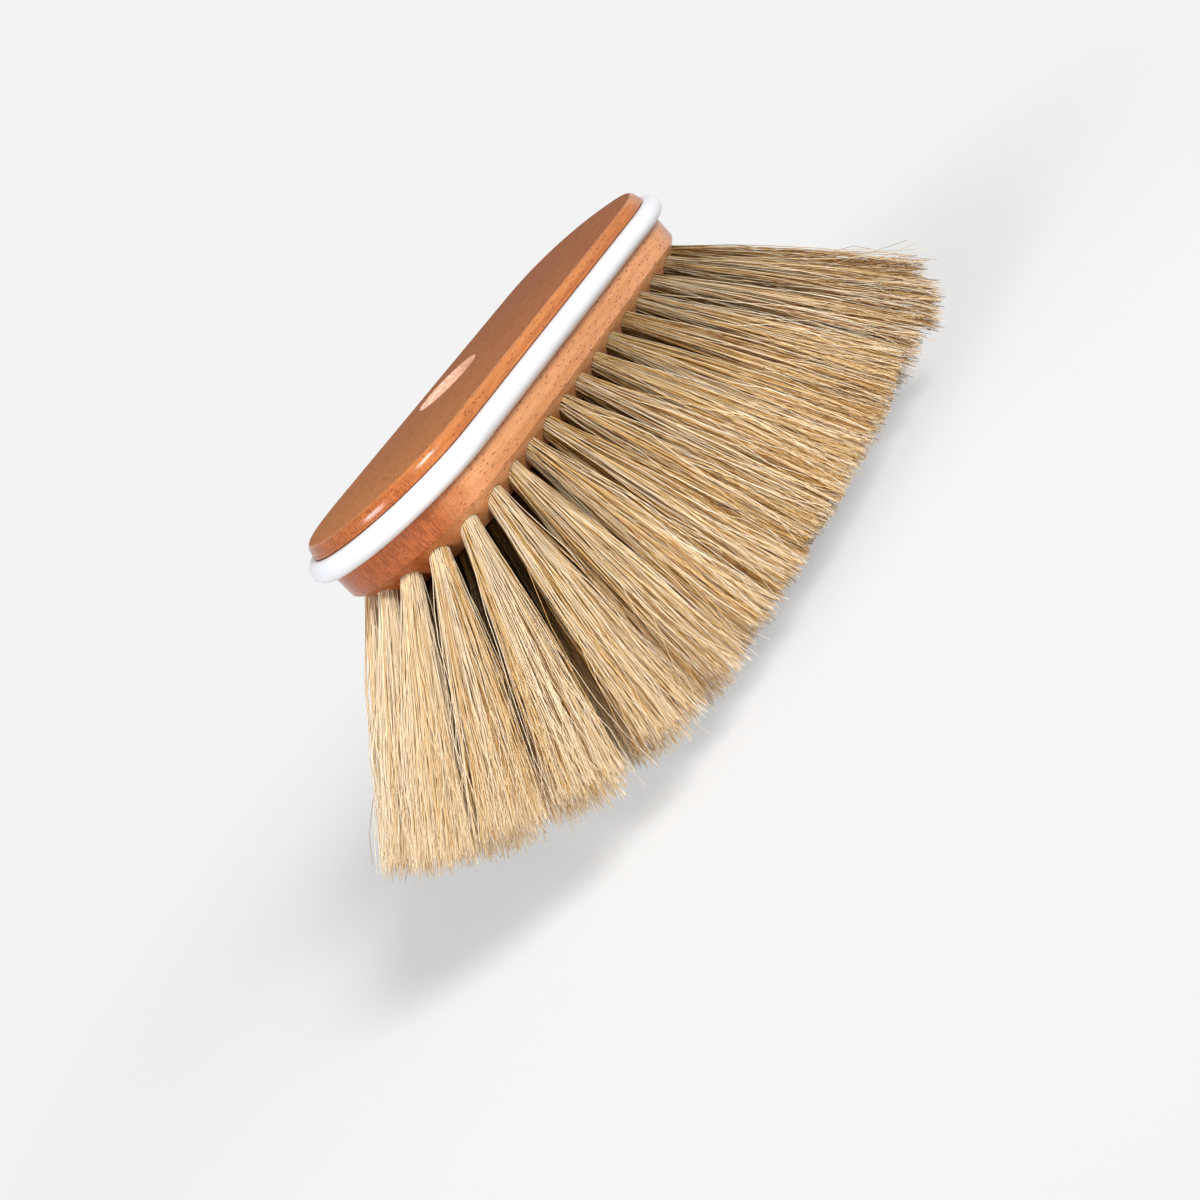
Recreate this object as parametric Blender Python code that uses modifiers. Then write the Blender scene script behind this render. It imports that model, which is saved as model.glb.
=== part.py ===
"""Truck wash brush: two beech boards that clamp a bumper strip, with tufts drawn in on wire.

The block is a straight-sided oval. Its long axis is X and its back faces +Z. The inner tufts are
trimmed level at z = 0, so the brush stands on them.
"""

import math

import bmesh
import bpy
from mathutils import Matrix, Vector

# Block, seen from above, and its heights from the trimmed tips up
BLOCK_LENGTH = 0.210
BLOCK_WIDTH = 0.076
UNDERSIDE = 0.097
CHAMFER = 0.010
BOARD_WALL = 0.0133
COVER_EDGE = 0.0087
CROWN = 0.0026

# Cover board: crowned back, rounded edge, and a small lip above the bumper
CROWN_FLAT_SHARE = 0.25
CROWN_RING_SHARES = (0.25, 0.5, 0.7, 0.85, 1.0)
ROUND_INSET = 0.0028
ROUND_DROP = 0.0036
LIP_STEP = 0.0004
WIRE_SPACE_INSET = 0.0135
WIRE_SPACE_DEPTH = 0.0016

# Bristle board
BOARD_STEP = 0.0005
SKIN = 0.003
WIRE_HOLE_RADIUS = 0.0014

# Bumper strip: a round bead with a tongue that the boards clamp
BEAD_RADIUS = 0.0039
BEAD_PROUD = 0.0009
TONGUE_INSET = 0.008
TONGUE_THICKNESS = 0.0025

# Handle socket, drilled on the slant and leaning towards -X as it rises
SOCKET_RADIUS = 0.012
SOCKET_DEPTH = 0.024
SOCKET_LEAN = math.radians(36)
SOCKET_MOUTH_X = -0.0195
SOCKET_LAND = 0.0015

# Dowels between the boards, on the long axis and across it
DOWEL_RADIUS = 0.0025
DOWEL_LENGTH = 0.016
DOWEL_IN_BOARD = 0.009
DOWEL_INSET = 0.012
DOWEL_BEVEL = 0.0005

# Tufts: rows round the oval, each a distance in from its wall, and a row along the middle
TUFT_SIDE = 0.005
TUFT_STUB = 0.008
TUFT_ROOT = 0.002
TUFT_LENGTH = 0.100
STRAND_GAP = 0.00022
SPLAY_SHARE = 2.4
SWELL_SHARE = 1.5
OUTER_INSET = 0.0055
OUTER_TUFTS, OUTER_SLICES = 36, 12
MIDDLE_TUFTS, MIDDLE_SLICES = 30, 10
TUFT_PITCH = 0.0135
LEAN_ALONG_SHARE = 0.41
LEAN_END_SHARE = 1.09
LEAN_END_POWER = 3
LEAN_SIDE_SHARE = 0.58
LEAN_SIDE_POWER = 1.2
DRILL_SHARE = 0.7

# Drawing wire
WIRE_RADIUS = 0.0004
WIRE_LEGS = 0.0012
WIRE_TAIL = 0.003

# Clearances and steps
FIT_GAP = 0.0003
SOCKET_MARGIN = 0.002
OVERRUN = 0.003
ARC_STEPS = 14
ROUND_STEPS = 4
SEAT_STEPS = 4
BEAD_STEPS = 12
SOCKET_SIDES = 32
DOWEL_SIDES = 12
HOLE_SIDES = 6
STRANDS = 4

HALF_WIDTH = BLOCK_WIDTH / 2
HALF_STRAIGHT = (BLOCK_LENGTH - BLOCK_WIDTH) / 2
WALL_FOOT = UNDERSIDE + CHAMFER
SEAM = WALL_FOOT + BOARD_WALL
BACK_EDGE = SEAM + COVER_EDGE
BACK = BACK_EDGE + CROWN
CHAMFER_INSET = BOARD_STEP + CHAMFER
ROW_SPACING = (HALF_WIDTH - OUTER_INSET) / 3
MIDDLE_INSET = OUTER_INSET + ROW_SPACING
INNER_INSET = MIDDLE_INSET + ROW_SPACING
BAND_EDGE = MIDDLE_INSET + ROW_SPACING / 2
SEAT_RADIUS = BEAD_RADIUS + FIT_GAP
SLOT_HALF = TONGUE_THICKNESS / 2 + FIT_GAP / 2
SLOT_INSET = TONGUE_INSET + FIT_GAP
DIAGONAL = math.sqrt(0.5)
SOCKET_AXIS = Vector((-math.sin(SOCKET_LEAN), 0, math.cos(SOCKET_LEAN)))
SOCKET_MOUTH = Vector((SOCKET_MOUTH_X, 0, BACK))
SOCKET_FLOOR = SOCKET_MOUTH - SOCKET_AXIS * SOCKET_DEPTH


def clear_scene():
    """Remove every object that the file opens with."""
    for thing in list(bpy.data.objects):
        bpy.data.objects.remove(thing, do_unlink=True)


def new_collection(name):
    group = bpy.data.collections.new(name)
    bpy.context.scene.collection.children.link(group)
    return group


def new_material(name, colour, roughness, metallic=0.0):
    material = bpy.data.materials.new(name)
    material.use_nodes = True
    shader = material.node_tree.nodes["Principled BSDF"]
    shader.inputs["Base Color"].default_value = (*colour, 1.0)
    shader.inputs["Roughness"].default_value = roughness
    shader.inputs["Metallic"].default_value = metallic
    return material


def add_object(name, shape, group, material=None):
    """Put a bmesh into a new named object with its faces pointing out."""
    bmesh.ops.recalc_face_normals(shape, faces=shape.faces[:])
    mesh = bpy.data.meshes.new(name)
    shape.to_mesh(mesh)
    shape.free()
    thing = bpy.data.objects.new(name, mesh)
    group.objects.link(thing)
    if material:
        mesh.materials.append(material)
    return thing


def add_cutter(name, shape):
    cutter = add_object(name, shape, cutters)
    cutter.hide_render = True
    cutter.display_type = "WIRE"
    return cutter


def combine(target, tool, operation):
    """Cut, join or keep what two closed meshes share."""
    modifier = target.modifiers.new(f"{operation.lower()} {tool.name}", "BOOLEAN")
    modifier.operation = operation
    modifier.solver = "EXACT"
    modifier.object = tool


def smooth(thing, angle=math.radians(35)):
    thing.data.shade_smooth()
    thing.data.set_sharp_from_angle(angle=angle)


def spot(inset, along):
    """Centre and angle of the place this far along the oval, from the middle of its front side."""
    radius = HALF_WIDTH - inset
    arc = math.pi * radius
    along %= 4 * HALF_STRAIGHT + 2 * arc
    if along <= HALF_STRAIGHT:
        return along, -math.pi / 2
    along -= HALF_STRAIGHT
    if along <= arc:
        return HALF_STRAIGHT, along / radius - math.pi / 2
    along -= arc
    if along <= 2 * HALF_STRAIGHT:
        return HALF_STRAIGHT - along, math.pi / 2
    along -= 2 * HALF_STRAIGHT
    if along <= arc:
        return -HALF_STRAIGHT, along / radius + math.pi / 2
    return along - arc - HALF_STRAIGHT, -math.pi / 2


def place(where, inset, height):
    """The point at this inset and height, straight out from a spot's centre."""
    centre, angle = where
    radius = HALF_WIDTH - inset
    return Vector((centre + radius * math.cos(angle), radius * math.sin(angle), height))


def perimeter(inset):
    return 4 * HALF_STRAIGHT + 2 * math.pi * (HALF_WIDTH - inset)


def arc_breaks(inset):
    """Distances along the oval where the faces of its two round ends meet."""
    arc = math.pi * (HALF_WIDTH - inset)
    starts = (HALF_STRAIGHT, 3 * HALF_STRAIGHT + arc)
    return [start + arc * step / ARC_STEPS for start in starts for step in range(ARC_STEPS + 1)]


def skin_rings(shape, rings, closed):
    """Join each ring of vertices to the next with four-sided faces."""
    pairs = list(zip(rings, rings[1:] + rings[:1])) if closed else list(zip(rings, rings[1:]))
    for ring, following in pairs:
        for index in range(len(ring)):
            after = (index + 1) % len(ring)
            shape.faces.new((ring[index], ring[after], following[after], following[index]))


def loft_oval(profile, closed=False):
    """Carry a profile of insets and heights round the whole oval."""
    shape = bmesh.new()
    spots = [spot(0, along) for along in arc_breaks(0)]
    rings = [[shape.verts.new(place(where, *point)) for where in spots] for point in profile]
    skin_rings(shape, rings, closed)
    if not closed:
        shape.faces.new(rings[0])
        shape.faces.new(rings[-1])
    return shape


def loft_stretch(section, inset, start, end):
    """Carry a closed section of insets and heights along one stretch of the oval."""
    length = perimeter(inset)
    inside = [a + turn for turn in (-length, 0, length) for a in arc_breaks(inset)]
    stops = [start] + [a for a in sorted(inside) if start + FIT_GAP < a < end - FIT_GAP] + [end]
    shape = bmesh.new()
    rings = [[shape.verts.new(place(spot(inset, a), *point)) for point in section] for a in stops]
    skin_rings(shape, rings, False)
    shape.faces.new(rings[0])
    shape.faces.new(rings[-1])
    return shape


def prism(outline, low, high):
    """A flat outline of points, drawn up from one height to another."""
    shape = bmesh.new()
    base = shape.faces.new([shape.verts.new((x, y, low)) for x, y in outline])
    drawn = bmesh.ops.extrude_face_region(shape, geom=[base])["geom"]
    raised = [part for part in drawn if isinstance(part, bmesh.types.BMVert)]
    bmesh.ops.translate(shape, verts=raised, vec=(0, 0, high - low))
    return shape


def add_rod(shape, start, end, radius, sides):
    """Add a closed cylinder between two points to a bmesh."""
    run = end - start
    turn = run.to_track_quat("Z", "Y").to_matrix().to_4x4()
    middle = Matrix.Translation((start + end) / 2)
    bmesh.ops.create_cone(
        shape, cap_ends=True, segments=sides, radius1=radius, radius2=radius, depth=run.length,
        matrix=middle @ turn,
    )


def rod(start, end, radius, sides):
    shape = bmesh.new()
    add_rod(shape, start, end, radius, sides)
    return shape


def crown_height(share):
    """Height of the back at this share of the way from its middle to its edge."""
    beyond = max(share - CROWN_FLAT_SHARE, 0) / (1 - CROWN_FLAT_SHARE)
    return BACK_EDGE + CROWN * (1 - beyond * beyond)


def seat_points(side):
    """The bead's seat, from the wall in to the tongue's slot, above (1) or below (-1) the seam."""
    wall = 0 if side > 0 else BOARD_STEP
    first = math.acos((BEAD_PROUD + wall) / SEAT_RADIUS)
    last = math.asin(SLOT_HALF / SEAT_RADIUS)
    angles = [first + (last - first) * step / SEAT_STEPS for step in range(SEAT_STEPS + 1)]
    return [(SEAT_RADIUS * math.cos(a) - BEAD_PROUD, SEAM + side * SEAT_RADIUS * math.sin(a)) for a in angles]


def slot_points(side):
    return [(SLOT_INSET, SEAM + side * SLOT_HALF), (SLOT_INSET, SEAM + side * FIT_GAP / 2)]


def make_cover():
    """The crowned cover board, hollowed underneath where the drawing wires lie."""
    reach = HALF_WIDTH - ROUND_INSET
    crown = [(HALF_WIDTH - reach * share, crown_height(share)) for share in CROWN_RING_SHARES]
    quarter = [math.pi / 2 * step / ROUND_STEPS for step in range(1, ROUND_STEPS + 1)]
    shoulder = BACK_EDGE - ROUND_DROP
    width = ROUND_INSET - LIP_STEP
    edge = [(ROUND_INSET - width * math.sin(a), shoulder + ROUND_DROP * math.cos(a)) for a in quarter]
    lip = [(0, shoulder)]
    ceiling = SEAM + FIT_GAP / 2 + WIRE_SPACE_DEPTH
    under = [(WIRE_SPACE_INSET, SEAM + FIT_GAP / 2), (WIRE_SPACE_INSET, ceiling)]
    profile = crown + edge + lip + seat_points(1) + slot_points(1) + under
    cover = add_object("cover_board", loft_oval(profile), parts, beech)
    combine(cover, slanted_land(ceiling), "UNION")
    smooth(cover)
    return cover


def slanted_land(ceiling):
    """The ring of wood left round the socket where the cover is hollowed."""
    low = SEAM + FIT_GAP / 2
    high = ceiling + FIT_GAP
    shape = bmesh.new()
    radius = SOCKET_RADIUS + SOCKET_LAND
    bmesh.ops.create_cone(
        shape, cap_ends=True, segments=SOCKET_SIDES, radius1=radius, radius2=radius, depth=high - low
    )
    shear = Matrix.Identity(4)
    shear[0][0] = 1 / math.cos(SOCKET_LEAN)
    shear[0][2] = -math.tan(SOCKET_LEAN)
    middle = (low + high) / 2
    centre = SOCKET_MOUTH_X + (BACK - middle) * math.tan(SOCKET_LEAN)
    shape.transform(Matrix.Translation((centre, 0, middle)) @ shear)
    return add_cutter("socket_land", shape)


def make_board():
    """The bristle board without the skin under it, which the tufts carry in slices."""
    lift = SKIN * DIAGONAL
    gap = FIT_GAP / DIAGONAL
    floor = UNDERSIDE + SKIN + FIT_GAP
    line = BOARD_STEP + WALL_FOOT + (SKIN + FIT_GAP) / DIAGONAL
    below = [
        (BOARD_STEP, WALL_FOOT + gap),
        (BOARD_STEP + lift, WALL_FOOT + gap + lift),
        (line - floor, floor),
    ]
    profile = slot_points(-1)[::-1] + seat_points(-1)[::-1] + below
    board = add_object("bristle_board", loft_oval(profile), parts, beech)
    half = HALF_WIDTH - BAND_EDGE - FIT_GAP / 2
    low, high = keep_out()
    corners = [(low, -half), (high, -half), (high, half), (low, half)]
    pad = add_cutter("middle_pad", prism(corners, UNDERSIDE, floor + FIT_GAP))
    combine(board, pad, "UNION")
    smooth(board)
    return board


def make_bumper():
    """The white strip: a bead that stands proud of the wall, and the tongue between the boards."""
    half = TONGUE_THICKNESS / 2
    first = math.asin(half / BEAD_RADIUS)
    sweep = 2 * math.pi - 2 * first
    angles = [first + sweep * step / BEAD_STEPS for step in range(BEAD_STEPS + 1)]
    bead = [(BEAD_RADIUS * math.cos(a) - BEAD_PROUD, SEAM + BEAD_RADIUS * math.sin(a)) for a in angles]
    tongue = [(TONGUE_INSET, SEAM - half), (TONGUE_INSET, SEAM + half)]
    smooth(add_object("bumper_strip", loft_oval(bead + tongue, closed=True), parts, white_vinyl))


def cut_socket(boards):
    """Drill the slanted handle socket through the cover and into the bristle board."""
    top = SOCKET_MOUTH + SOCKET_AXIS * 2 * SOCKET_RADIUS
    cutter = add_cutter("handle_socket", rod(SOCKET_FLOOR, top, SOCKET_RADIUS, SOCKET_SIDES))
    for board in boards:
        combine(board, cutter, "DIFFERENCE")


def make_dowels(boards):
    """Four dowels that line up and hold the boards, each in its own pair of blind holes."""
    along = BLOCK_LENGTH / 2 - DOWEL_INSET
    across = HALF_WIDTH - DOWEL_INSET
    places = {"left": (-along, 0), "right": (along, 0), "front": (0, -across), "back": (0, across)}
    holes = bmesh.new()
    low = SEAM - DOWEL_IN_BOARD
    for side, (x, y) in places.items():
        foot, head = Vector((x, y, low)), Vector((x, y, low + DOWEL_LENGTH))
        dowel = add_object(f"dowel_{side}", rod(foot, head, DOWEL_RADIUS, DOWEL_SIDES), parts, beech)
        bevel = dowel.modifiers.new("chamfered ends", "BEVEL")
        bevel.width = DOWEL_BEVEL
        bevel.segments = 1
        bevel.limit_method = "ANGLE"
        bevel.angle_limit = math.radians(60)
        smooth(dowel)
        slack = Vector((0, 0, FIT_GAP))
        add_rod(holes, foot - slack, head + slack, DOWEL_RADIUS + FIT_GAP, DOWEL_SIDES)
    cutter = add_cutter("dowel_holes", holes)
    for board in boards:
        combine(board, cutter, "DIFFERENCE")


def lean(point):
    """The way a tuft points: down, and further out the nearer its root is to an end or side."""
    along = 2 * abs(point.x) / BLOCK_LENGTH
    across = abs(point.y) / (HALF_WIDTH - OUTER_INSET)
    outward = LEAN_ALONG_SHARE * along + LEAN_END_SHARE * along**LEAN_END_POWER
    sideways = LEAN_SIDE_SHARE * across**LEAN_SIDE_POWER
    return Vector((math.copysign(outward, point.x), math.copysign(sideways, point.y), -1)).normalized()


def root(where, inset):
    """A tuft's root, the way it points, the way its hole is drilled, and the face's normal."""
    outward = Vector((math.cos(where[1]), math.sin(where[1]), 0))
    down = Vector((0, 0, -1))
    drilled = (down + outward * DRILL_SHARE * max(1 - inset / INNER_INSET, 0)).normalized()
    if inset < CHAMFER_INSET:
        point = place(where, inset, WALL_FOOT - (inset - BOARD_STEP))
        return point, lean(point), drilled, (down + outward).normalized()
    point = place(where, inset, UNDERSIDE)
    return point, lean(point), drilled, down


def ring_of_tufts(inset, count, shift):
    """Tufts at even steps round the oval, the first one this share of a step from its front."""
    step = perimeter(inset) / count
    return [root(spot(inset, (index + shift) * step), inset) for index in range(count)]


def keep_out():
    """Where along X the socket leaves no room for a tuft's hole in the middle rows."""
    seam_x = SOCKET_MOUTH_X + (BACK - SEAM) * math.tan(SOCKET_LEAN)
    floor_x = SOCKET_FLOOR.x + SOCKET_RADIUS * math.cos(SOCKET_LEAN)
    low = seam_x - SOCKET_RADIUS / math.cos(SOCKET_LEAN) - SOCKET_MARGIN
    return low, floor_x + SOCKET_MARGIN


def inner_tufts(side):
    """Inner ring and middle row on the left (-1) or right (1) of the socket, in drawing order."""
    limit = keep_out()[0 if side < 0 else 1]
    count = 2 * round(perimeter(INNER_INSET) / TUFT_PITCH / 2)
    nearest = side * limit + TUFT_SIDE
    around = [tuft for tuft in ring_of_tufts(INNER_INSET, count, 0.5) if side * tuft[0].x > nearest]
    around.sort(key=lambda tuft: math.atan2(side * tuft[0].y, side * tuft[0].x))
    first = HALF_STRAIGHT - TUFT_PITCH / 2
    room = int((first - nearest) / TUFT_PITCH)
    row = [root((side * (first - (room - index) * TUFT_PITCH), 0), HALF_WIDTH) for index in range(room + 1)]
    return around + row


def add_tuft(shape, tuft):
    """Add a tuft to a bmesh: a short square stub that parts into strands."""
    point, way, _, _ = tuft
    half_diagonal = TUFT_SIDE * DIAGONAL
    turn = way.to_track_quat("Z", "X").to_matrix().to_4x4() @ Matrix.Rotation(math.pi / STRANDS, 4, "Z")
    length = TUFT_ROOT + TUFT_STUB
    middle = Matrix.Translation(point + way * (TUFT_STUB - TUFT_ROOT) / 2)
    made = bmesh.ops.create_cone(
        shape, cap_ends=True, segments=STRANDS, radius1=half_diagonal, radius2=half_diagonal, depth=length,
        matrix=middle @ turn,
    )
    stub_end = point + way * TUFT_STUB
    faces = {face for vert in made["verts"] for face in vert.link_faces}
    cap = max(faces, key=lambda face: face.calc_center_median().dot(way))
    quarters = bmesh.ops.poke(shape, faces=[cap])["faces"]
    bmesh.ops.inset_individual(shape, faces=quarters, thickness=STRAND_GAP)
    strands = bmesh.ops.extrude_discrete_faces(shape, faces=quarters)["faces"]
    for strand in strands:
        centre = strand.calc_center_median()
        tip = stub_end + (centre - stub_end) * SPLAY_SHARE + way * (TUFT_LENGTH - TUFT_STUB)
        for vert in strand.verts:
            vert.co = tip + (vert.co - centre) * SWELL_SHARE


def add_slice(name, backing, tufts):
    """A slice of the board's skin with its tufts, trimmed level where they reach the ground."""
    piece = add_object(name, backing, parts, bristle)
    strands = bmesh.new()
    for tuft in tufts:
        add_tuft(strands, tuft)
    combine(piece, add_cutter(f"{name}_strands", strands), "UNION")
    combine(piece, ground, "DIFFERENCE")


def outer_section():
    """Section of the skin under the chamfer, from the wall's foot in."""
    lift = SKIN * DIAGONAL
    return [
        (BOARD_STEP, WALL_FOOT),
        (CHAMFER_INSET, UNDERSIDE),
        (CHAMFER_INSET + lift, UNDERSIDE + lift),
        (BOARD_STEP + lift, WALL_FOOT + lift),
    ]


def middle_section():
    """Section of the skin under the middle ring, whose outer edge follows the chamfer's."""
    edge = CHAMFER_INSET + FIT_GAP / DIAGONAL
    inner = BAND_EDGE - FIT_GAP / 2
    return [(edge, UNDERSIDE), (inner, UNDERSIDE), (inner, UNDERSIDE + SKIN), (edge + SKIN, UNDERSIDE + SKIN)]


def add_ring_slices(name, section, inset, tufts, slices, shift):
    """Part a ring of tufts and its skin into even slices."""
    share = len(tufts) // slices
    step = perimeter(inset) / len(tufts)
    for index in range(slices):
        start = (index * share + shift - 0.5) * step + FIT_GAP / 2
        backing = loft_stretch(section, inset, start, start + share * step - FIT_GAP)
        add_slice(f"{name}_{index + 1:02d}", backing, tufts[index * share:(index + 1) * share])


def add_inner_slice(name, side, tufts):
    """The end plate of skin inside the middle ring, on one side of the socket."""
    half = HALF_WIDTH - BAND_EDGE - FIT_GAP / 2
    edge = keep_out()[0 if side < 0 else 1] + side * FIT_GAP
    steps = [math.pi * step / ARC_STEPS - math.pi / 2 for step in range(ARC_STEPS + 1)]
    arc = [(side * (HALF_STRAIGHT + half * math.cos(a)), half * math.sin(a)) for a in steps]
    outline = [(edge, -half)] + arc + [(edge, half)]
    add_slice(name, prism(outline, UNDERSIDE, UNDERSIDE + SKIN), tufts)


def drill_wire_holes(board, tufts):
    """A hole up through the board from each tuft to the wire that draws it in."""
    holes = bmesh.new()
    for point, _, drilled, _ in tufts:
        rise = (SEAM + OVERRUN - point.z) / -drilled.z
        add_rod(holes, point, point - drilled * rise, WIRE_HOLE_RADIUS, HOLE_SIDES)
    combine(board, add_cutter("wire_holes", holes), "DIFFERENCE")


def wire_route(tufts):
    """Along the seam from hole to hole, and down each hole and up again to hold its tuft."""
    height = SEAM + FIT_GAP / 2 + WIRE_RADIUS
    tops = [point - drilled * ((height - point.z) / -drilled.z) for point, _, drilled, _ in tufts]
    route = []
    for index, (point, _, drilled, normal) in enumerate(tufts):
        run = tops[min(index + 1, len(tops) - 1)] - tops[max(index - 1, 0)]
        step = run.normalized() * WIRE_LEGS / 2
        foot = point - drilled * ((SKIN + FIT_GAP + WIRE_RADIUS) / drilled.dot(normal))
        route += [tops[index] - step, foot - step, foot + step, tops[index] + step]
    start = (route[0] - route[3]).normalized() * WIRE_TAIL
    end = (route[-1] - route[-4]).normalized() * WIRE_TAIL
    return [route[0] + start] + route + [route[-1] + end]


def make_wire(name, tufts):
    """One drawing wire as a three-sided tube."""
    points = wire_route(tufts)
    curve = bpy.data.curves.new(name, "CURVE")
    curve.dimensions = "3D"
    curve.bevel_mode = "OBJECT"
    curve.bevel_object = wire_section
    curve.use_fill_caps = True
    spline = curve.splines.new("POLY")
    spline.points.add(len(points) - 1)
    for target, point in zip(spline.points, points):
        target.co = (*point, 1)
    curve.materials.append(steel)
    parts.objects.link(bpy.data.objects.new(name, curve))


def make_wire_section():
    """The triangle that each drawing wire is swept with."""
    curve = bpy.data.curves.new("wire_section", "CURVE")
    spline = curve.splines.new("POLY")
    spline.points.add(2)
    spline.use_cyclic_u = True
    for index, target in enumerate(spline.points):
        angle = -2 * math.pi * index / len(spline.points)
        target.co = (WIRE_RADIUS * math.cos(angle), WIRE_RADIUS * math.sin(angle), 0, 1)
    section = bpy.data.objects.new("wire_section", curve)
    section.hide_render = True
    cutters.objects.link(section)
    return section


def make_ground():
    """The block below z = 0 that trims the tips level."""
    reach = BLOCK_LENGTH + 2 * TUFT_LENGTH
    corners = [(-reach, -reach), (reach, -reach), (reach, reach), (-reach, reach)]
    return add_cutter("ground", prism(corners, -TUFT_LENGTH, 0))


clear_scene()
parts = new_collection("truck_wash_brush")
cutters = new_collection("cutters")
beech = new_material("lacquered beech", (0.66, 0.31, 0.13), 0.35)
white_vinyl = new_material("white vinyl", (0.90, 0.91, 0.93), 0.30)
bristle = new_material("natural bristle", (0.55, 0.40, 0.21), 0.60)
steel = new_material("galvanised wire", (0.60, 0.60, 0.60), 0.35, 1.0)
ground = make_ground()
wire_section = make_wire_section()

outer = ring_of_tufts(OUTER_INSET, OUTER_TUFTS, 0.5)
middle = ring_of_tufts(MIDDLE_INSET, MIDDLE_TUFTS, 0)
left, right = inner_tufts(-1), inner_tufts(1)

cover_board = make_cover()
bristle_board = make_board()
make_bumper()
cut_socket((cover_board, bristle_board))
make_dowels((cover_board, bristle_board))
drill_wire_holes(bristle_board, outer + middle + left + right)

for wire_name, drawn in (("outer", outer), ("middle", middle), ("inner_left", left), ("inner_right", right)):
    make_wire(f"drawing_wire_{wire_name}", drawn)

add_ring_slices("outer_tufts", outer_section(), OUTER_INSET, outer, OUTER_SLICES, 0.5)
add_ring_slices("middle_tufts", middle_section(), MIDDLE_INSET, middle, MIDDLE_SLICES, 0)
add_inner_slice("inner_tufts_left", -1, left)
add_inner_slice("inner_tufts_right", 1, right)
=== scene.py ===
"""Dress the truck wash brush: lacquered beech boards, a white bumper strip and drawn bristle tufts.

All sizes are in metres. The block's long axis is X, its back faces +Z and its trimmed tips stand on
z = 0. The wood, the strip and the bristles are built here; the dowels and the drawing wires are the
frame's own nodes with finishes of their own.
"""

from __future__ import annotations

import logging
import math
import random
from collections.abc import Iterable, Sequence
from dataclasses import dataclass
from enum import Enum
from typing import Any

import bmesh
import bpy
from mathutils import Matrix, Vector

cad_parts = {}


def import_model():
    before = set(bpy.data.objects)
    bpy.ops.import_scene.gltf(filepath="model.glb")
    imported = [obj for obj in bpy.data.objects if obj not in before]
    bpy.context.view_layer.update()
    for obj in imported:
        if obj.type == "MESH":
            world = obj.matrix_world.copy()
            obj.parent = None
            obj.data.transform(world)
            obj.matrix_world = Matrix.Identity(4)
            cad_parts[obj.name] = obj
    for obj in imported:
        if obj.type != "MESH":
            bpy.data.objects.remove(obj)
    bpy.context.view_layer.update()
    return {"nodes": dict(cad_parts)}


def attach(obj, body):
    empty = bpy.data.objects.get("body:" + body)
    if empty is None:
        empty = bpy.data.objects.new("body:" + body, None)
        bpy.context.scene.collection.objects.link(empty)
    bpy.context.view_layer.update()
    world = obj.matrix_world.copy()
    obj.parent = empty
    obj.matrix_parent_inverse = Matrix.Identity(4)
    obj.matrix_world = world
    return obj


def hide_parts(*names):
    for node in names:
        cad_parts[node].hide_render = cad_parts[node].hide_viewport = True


LOG = logging.getLogger("truck_wash_brush")
MM = 0.001
# The wires that draw the tufts in, kept from the frame
DRAWING_WIRES = tuple(f"drawing_wire_{row}" for row in ("outer", "middle", "inner_left", "inner_right"))
GOLDEN_ANGLE = math.pi * (3 - math.sqrt(5))
# A wave texture's period at a scale of 1
WAVE_PERIOD = 0.314

MATH = "ShaderNodeMath"
VECTOR = "ShaderNodeVectorMath"
SPLIT = "ShaderNodeSeparateXYZ"
COMBINE = "ShaderNodeCombineXYZ"
RANGE = "ShaderNodeMapRange"
COORDS = "ShaderNodeTexCoord"
NOISE = "ShaderNodeTexNoise"
RAMP = "ShaderNodeValToRGB"
MIX = "ShaderNodeMix"
BUMP = "ShaderNodeBump"
DRAW = "FunctionNodeRandomValue"

Material = bpy.types.Material
Object = bpy.types.Object
Tree = bpy.types.NodeTree
Output = bpy.types.NodeSocket
Outputs = bpy.types.bpy_prop_collection
Inputs = dict[str | int, Any] | Sequence[Any]
Point2 = tuple[float, float]
Point3 = tuple[float, float, float]
Colour = tuple[float, float, float, float]
# The lowest and highest of a value, and what each of them becomes
Span = tuple[float, float, float, float]


class Side(Enum):
    """The two ends of the block that the inner tufts are split between, either side of the socket."""

    LEFT = -1
    RIGHT = 1


class Cut(Enum):
    """What a boolean does with the tool that it is given."""

    AWAY = "DIFFERENCE"
    JOIN = "UNION"


# Shared helpers


def linear(hex_colour: str) -> Colour:
    """Turn an sRGB hex colour into linear light.

    Args:
        hex_colour: The colour as "#RRGGBB".

    Returns:
        Red, green, blue and an alpha of 1, in linear light.
    """
    channels = [int(hex_colour[start:start + 2], 16) / 255 for start in (1, 3, 5)]
    bent = [c / 12.92 if c <= 0.04045 else ((c + 0.055) / 1.055) ** 2.4 for c in channels]
    return (bent[0], bent[1], bent[2], 1.0)


def feed(node: bpy.types.Node, inputs: Inputs) -> None:
    """Link or set some of a node's inputs.

    Args:
        node: The node.
        inputs: The socket or the value for each input, by name or number, or in their order.
    """
    for key, value in inputs.items() if isinstance(inputs, dict) else enumerate(inputs):
        if isinstance(value, Output):
            node.id_data.links.new(value, node.inputs[key])
        else:
            node.inputs[key].default_value = value


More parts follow.
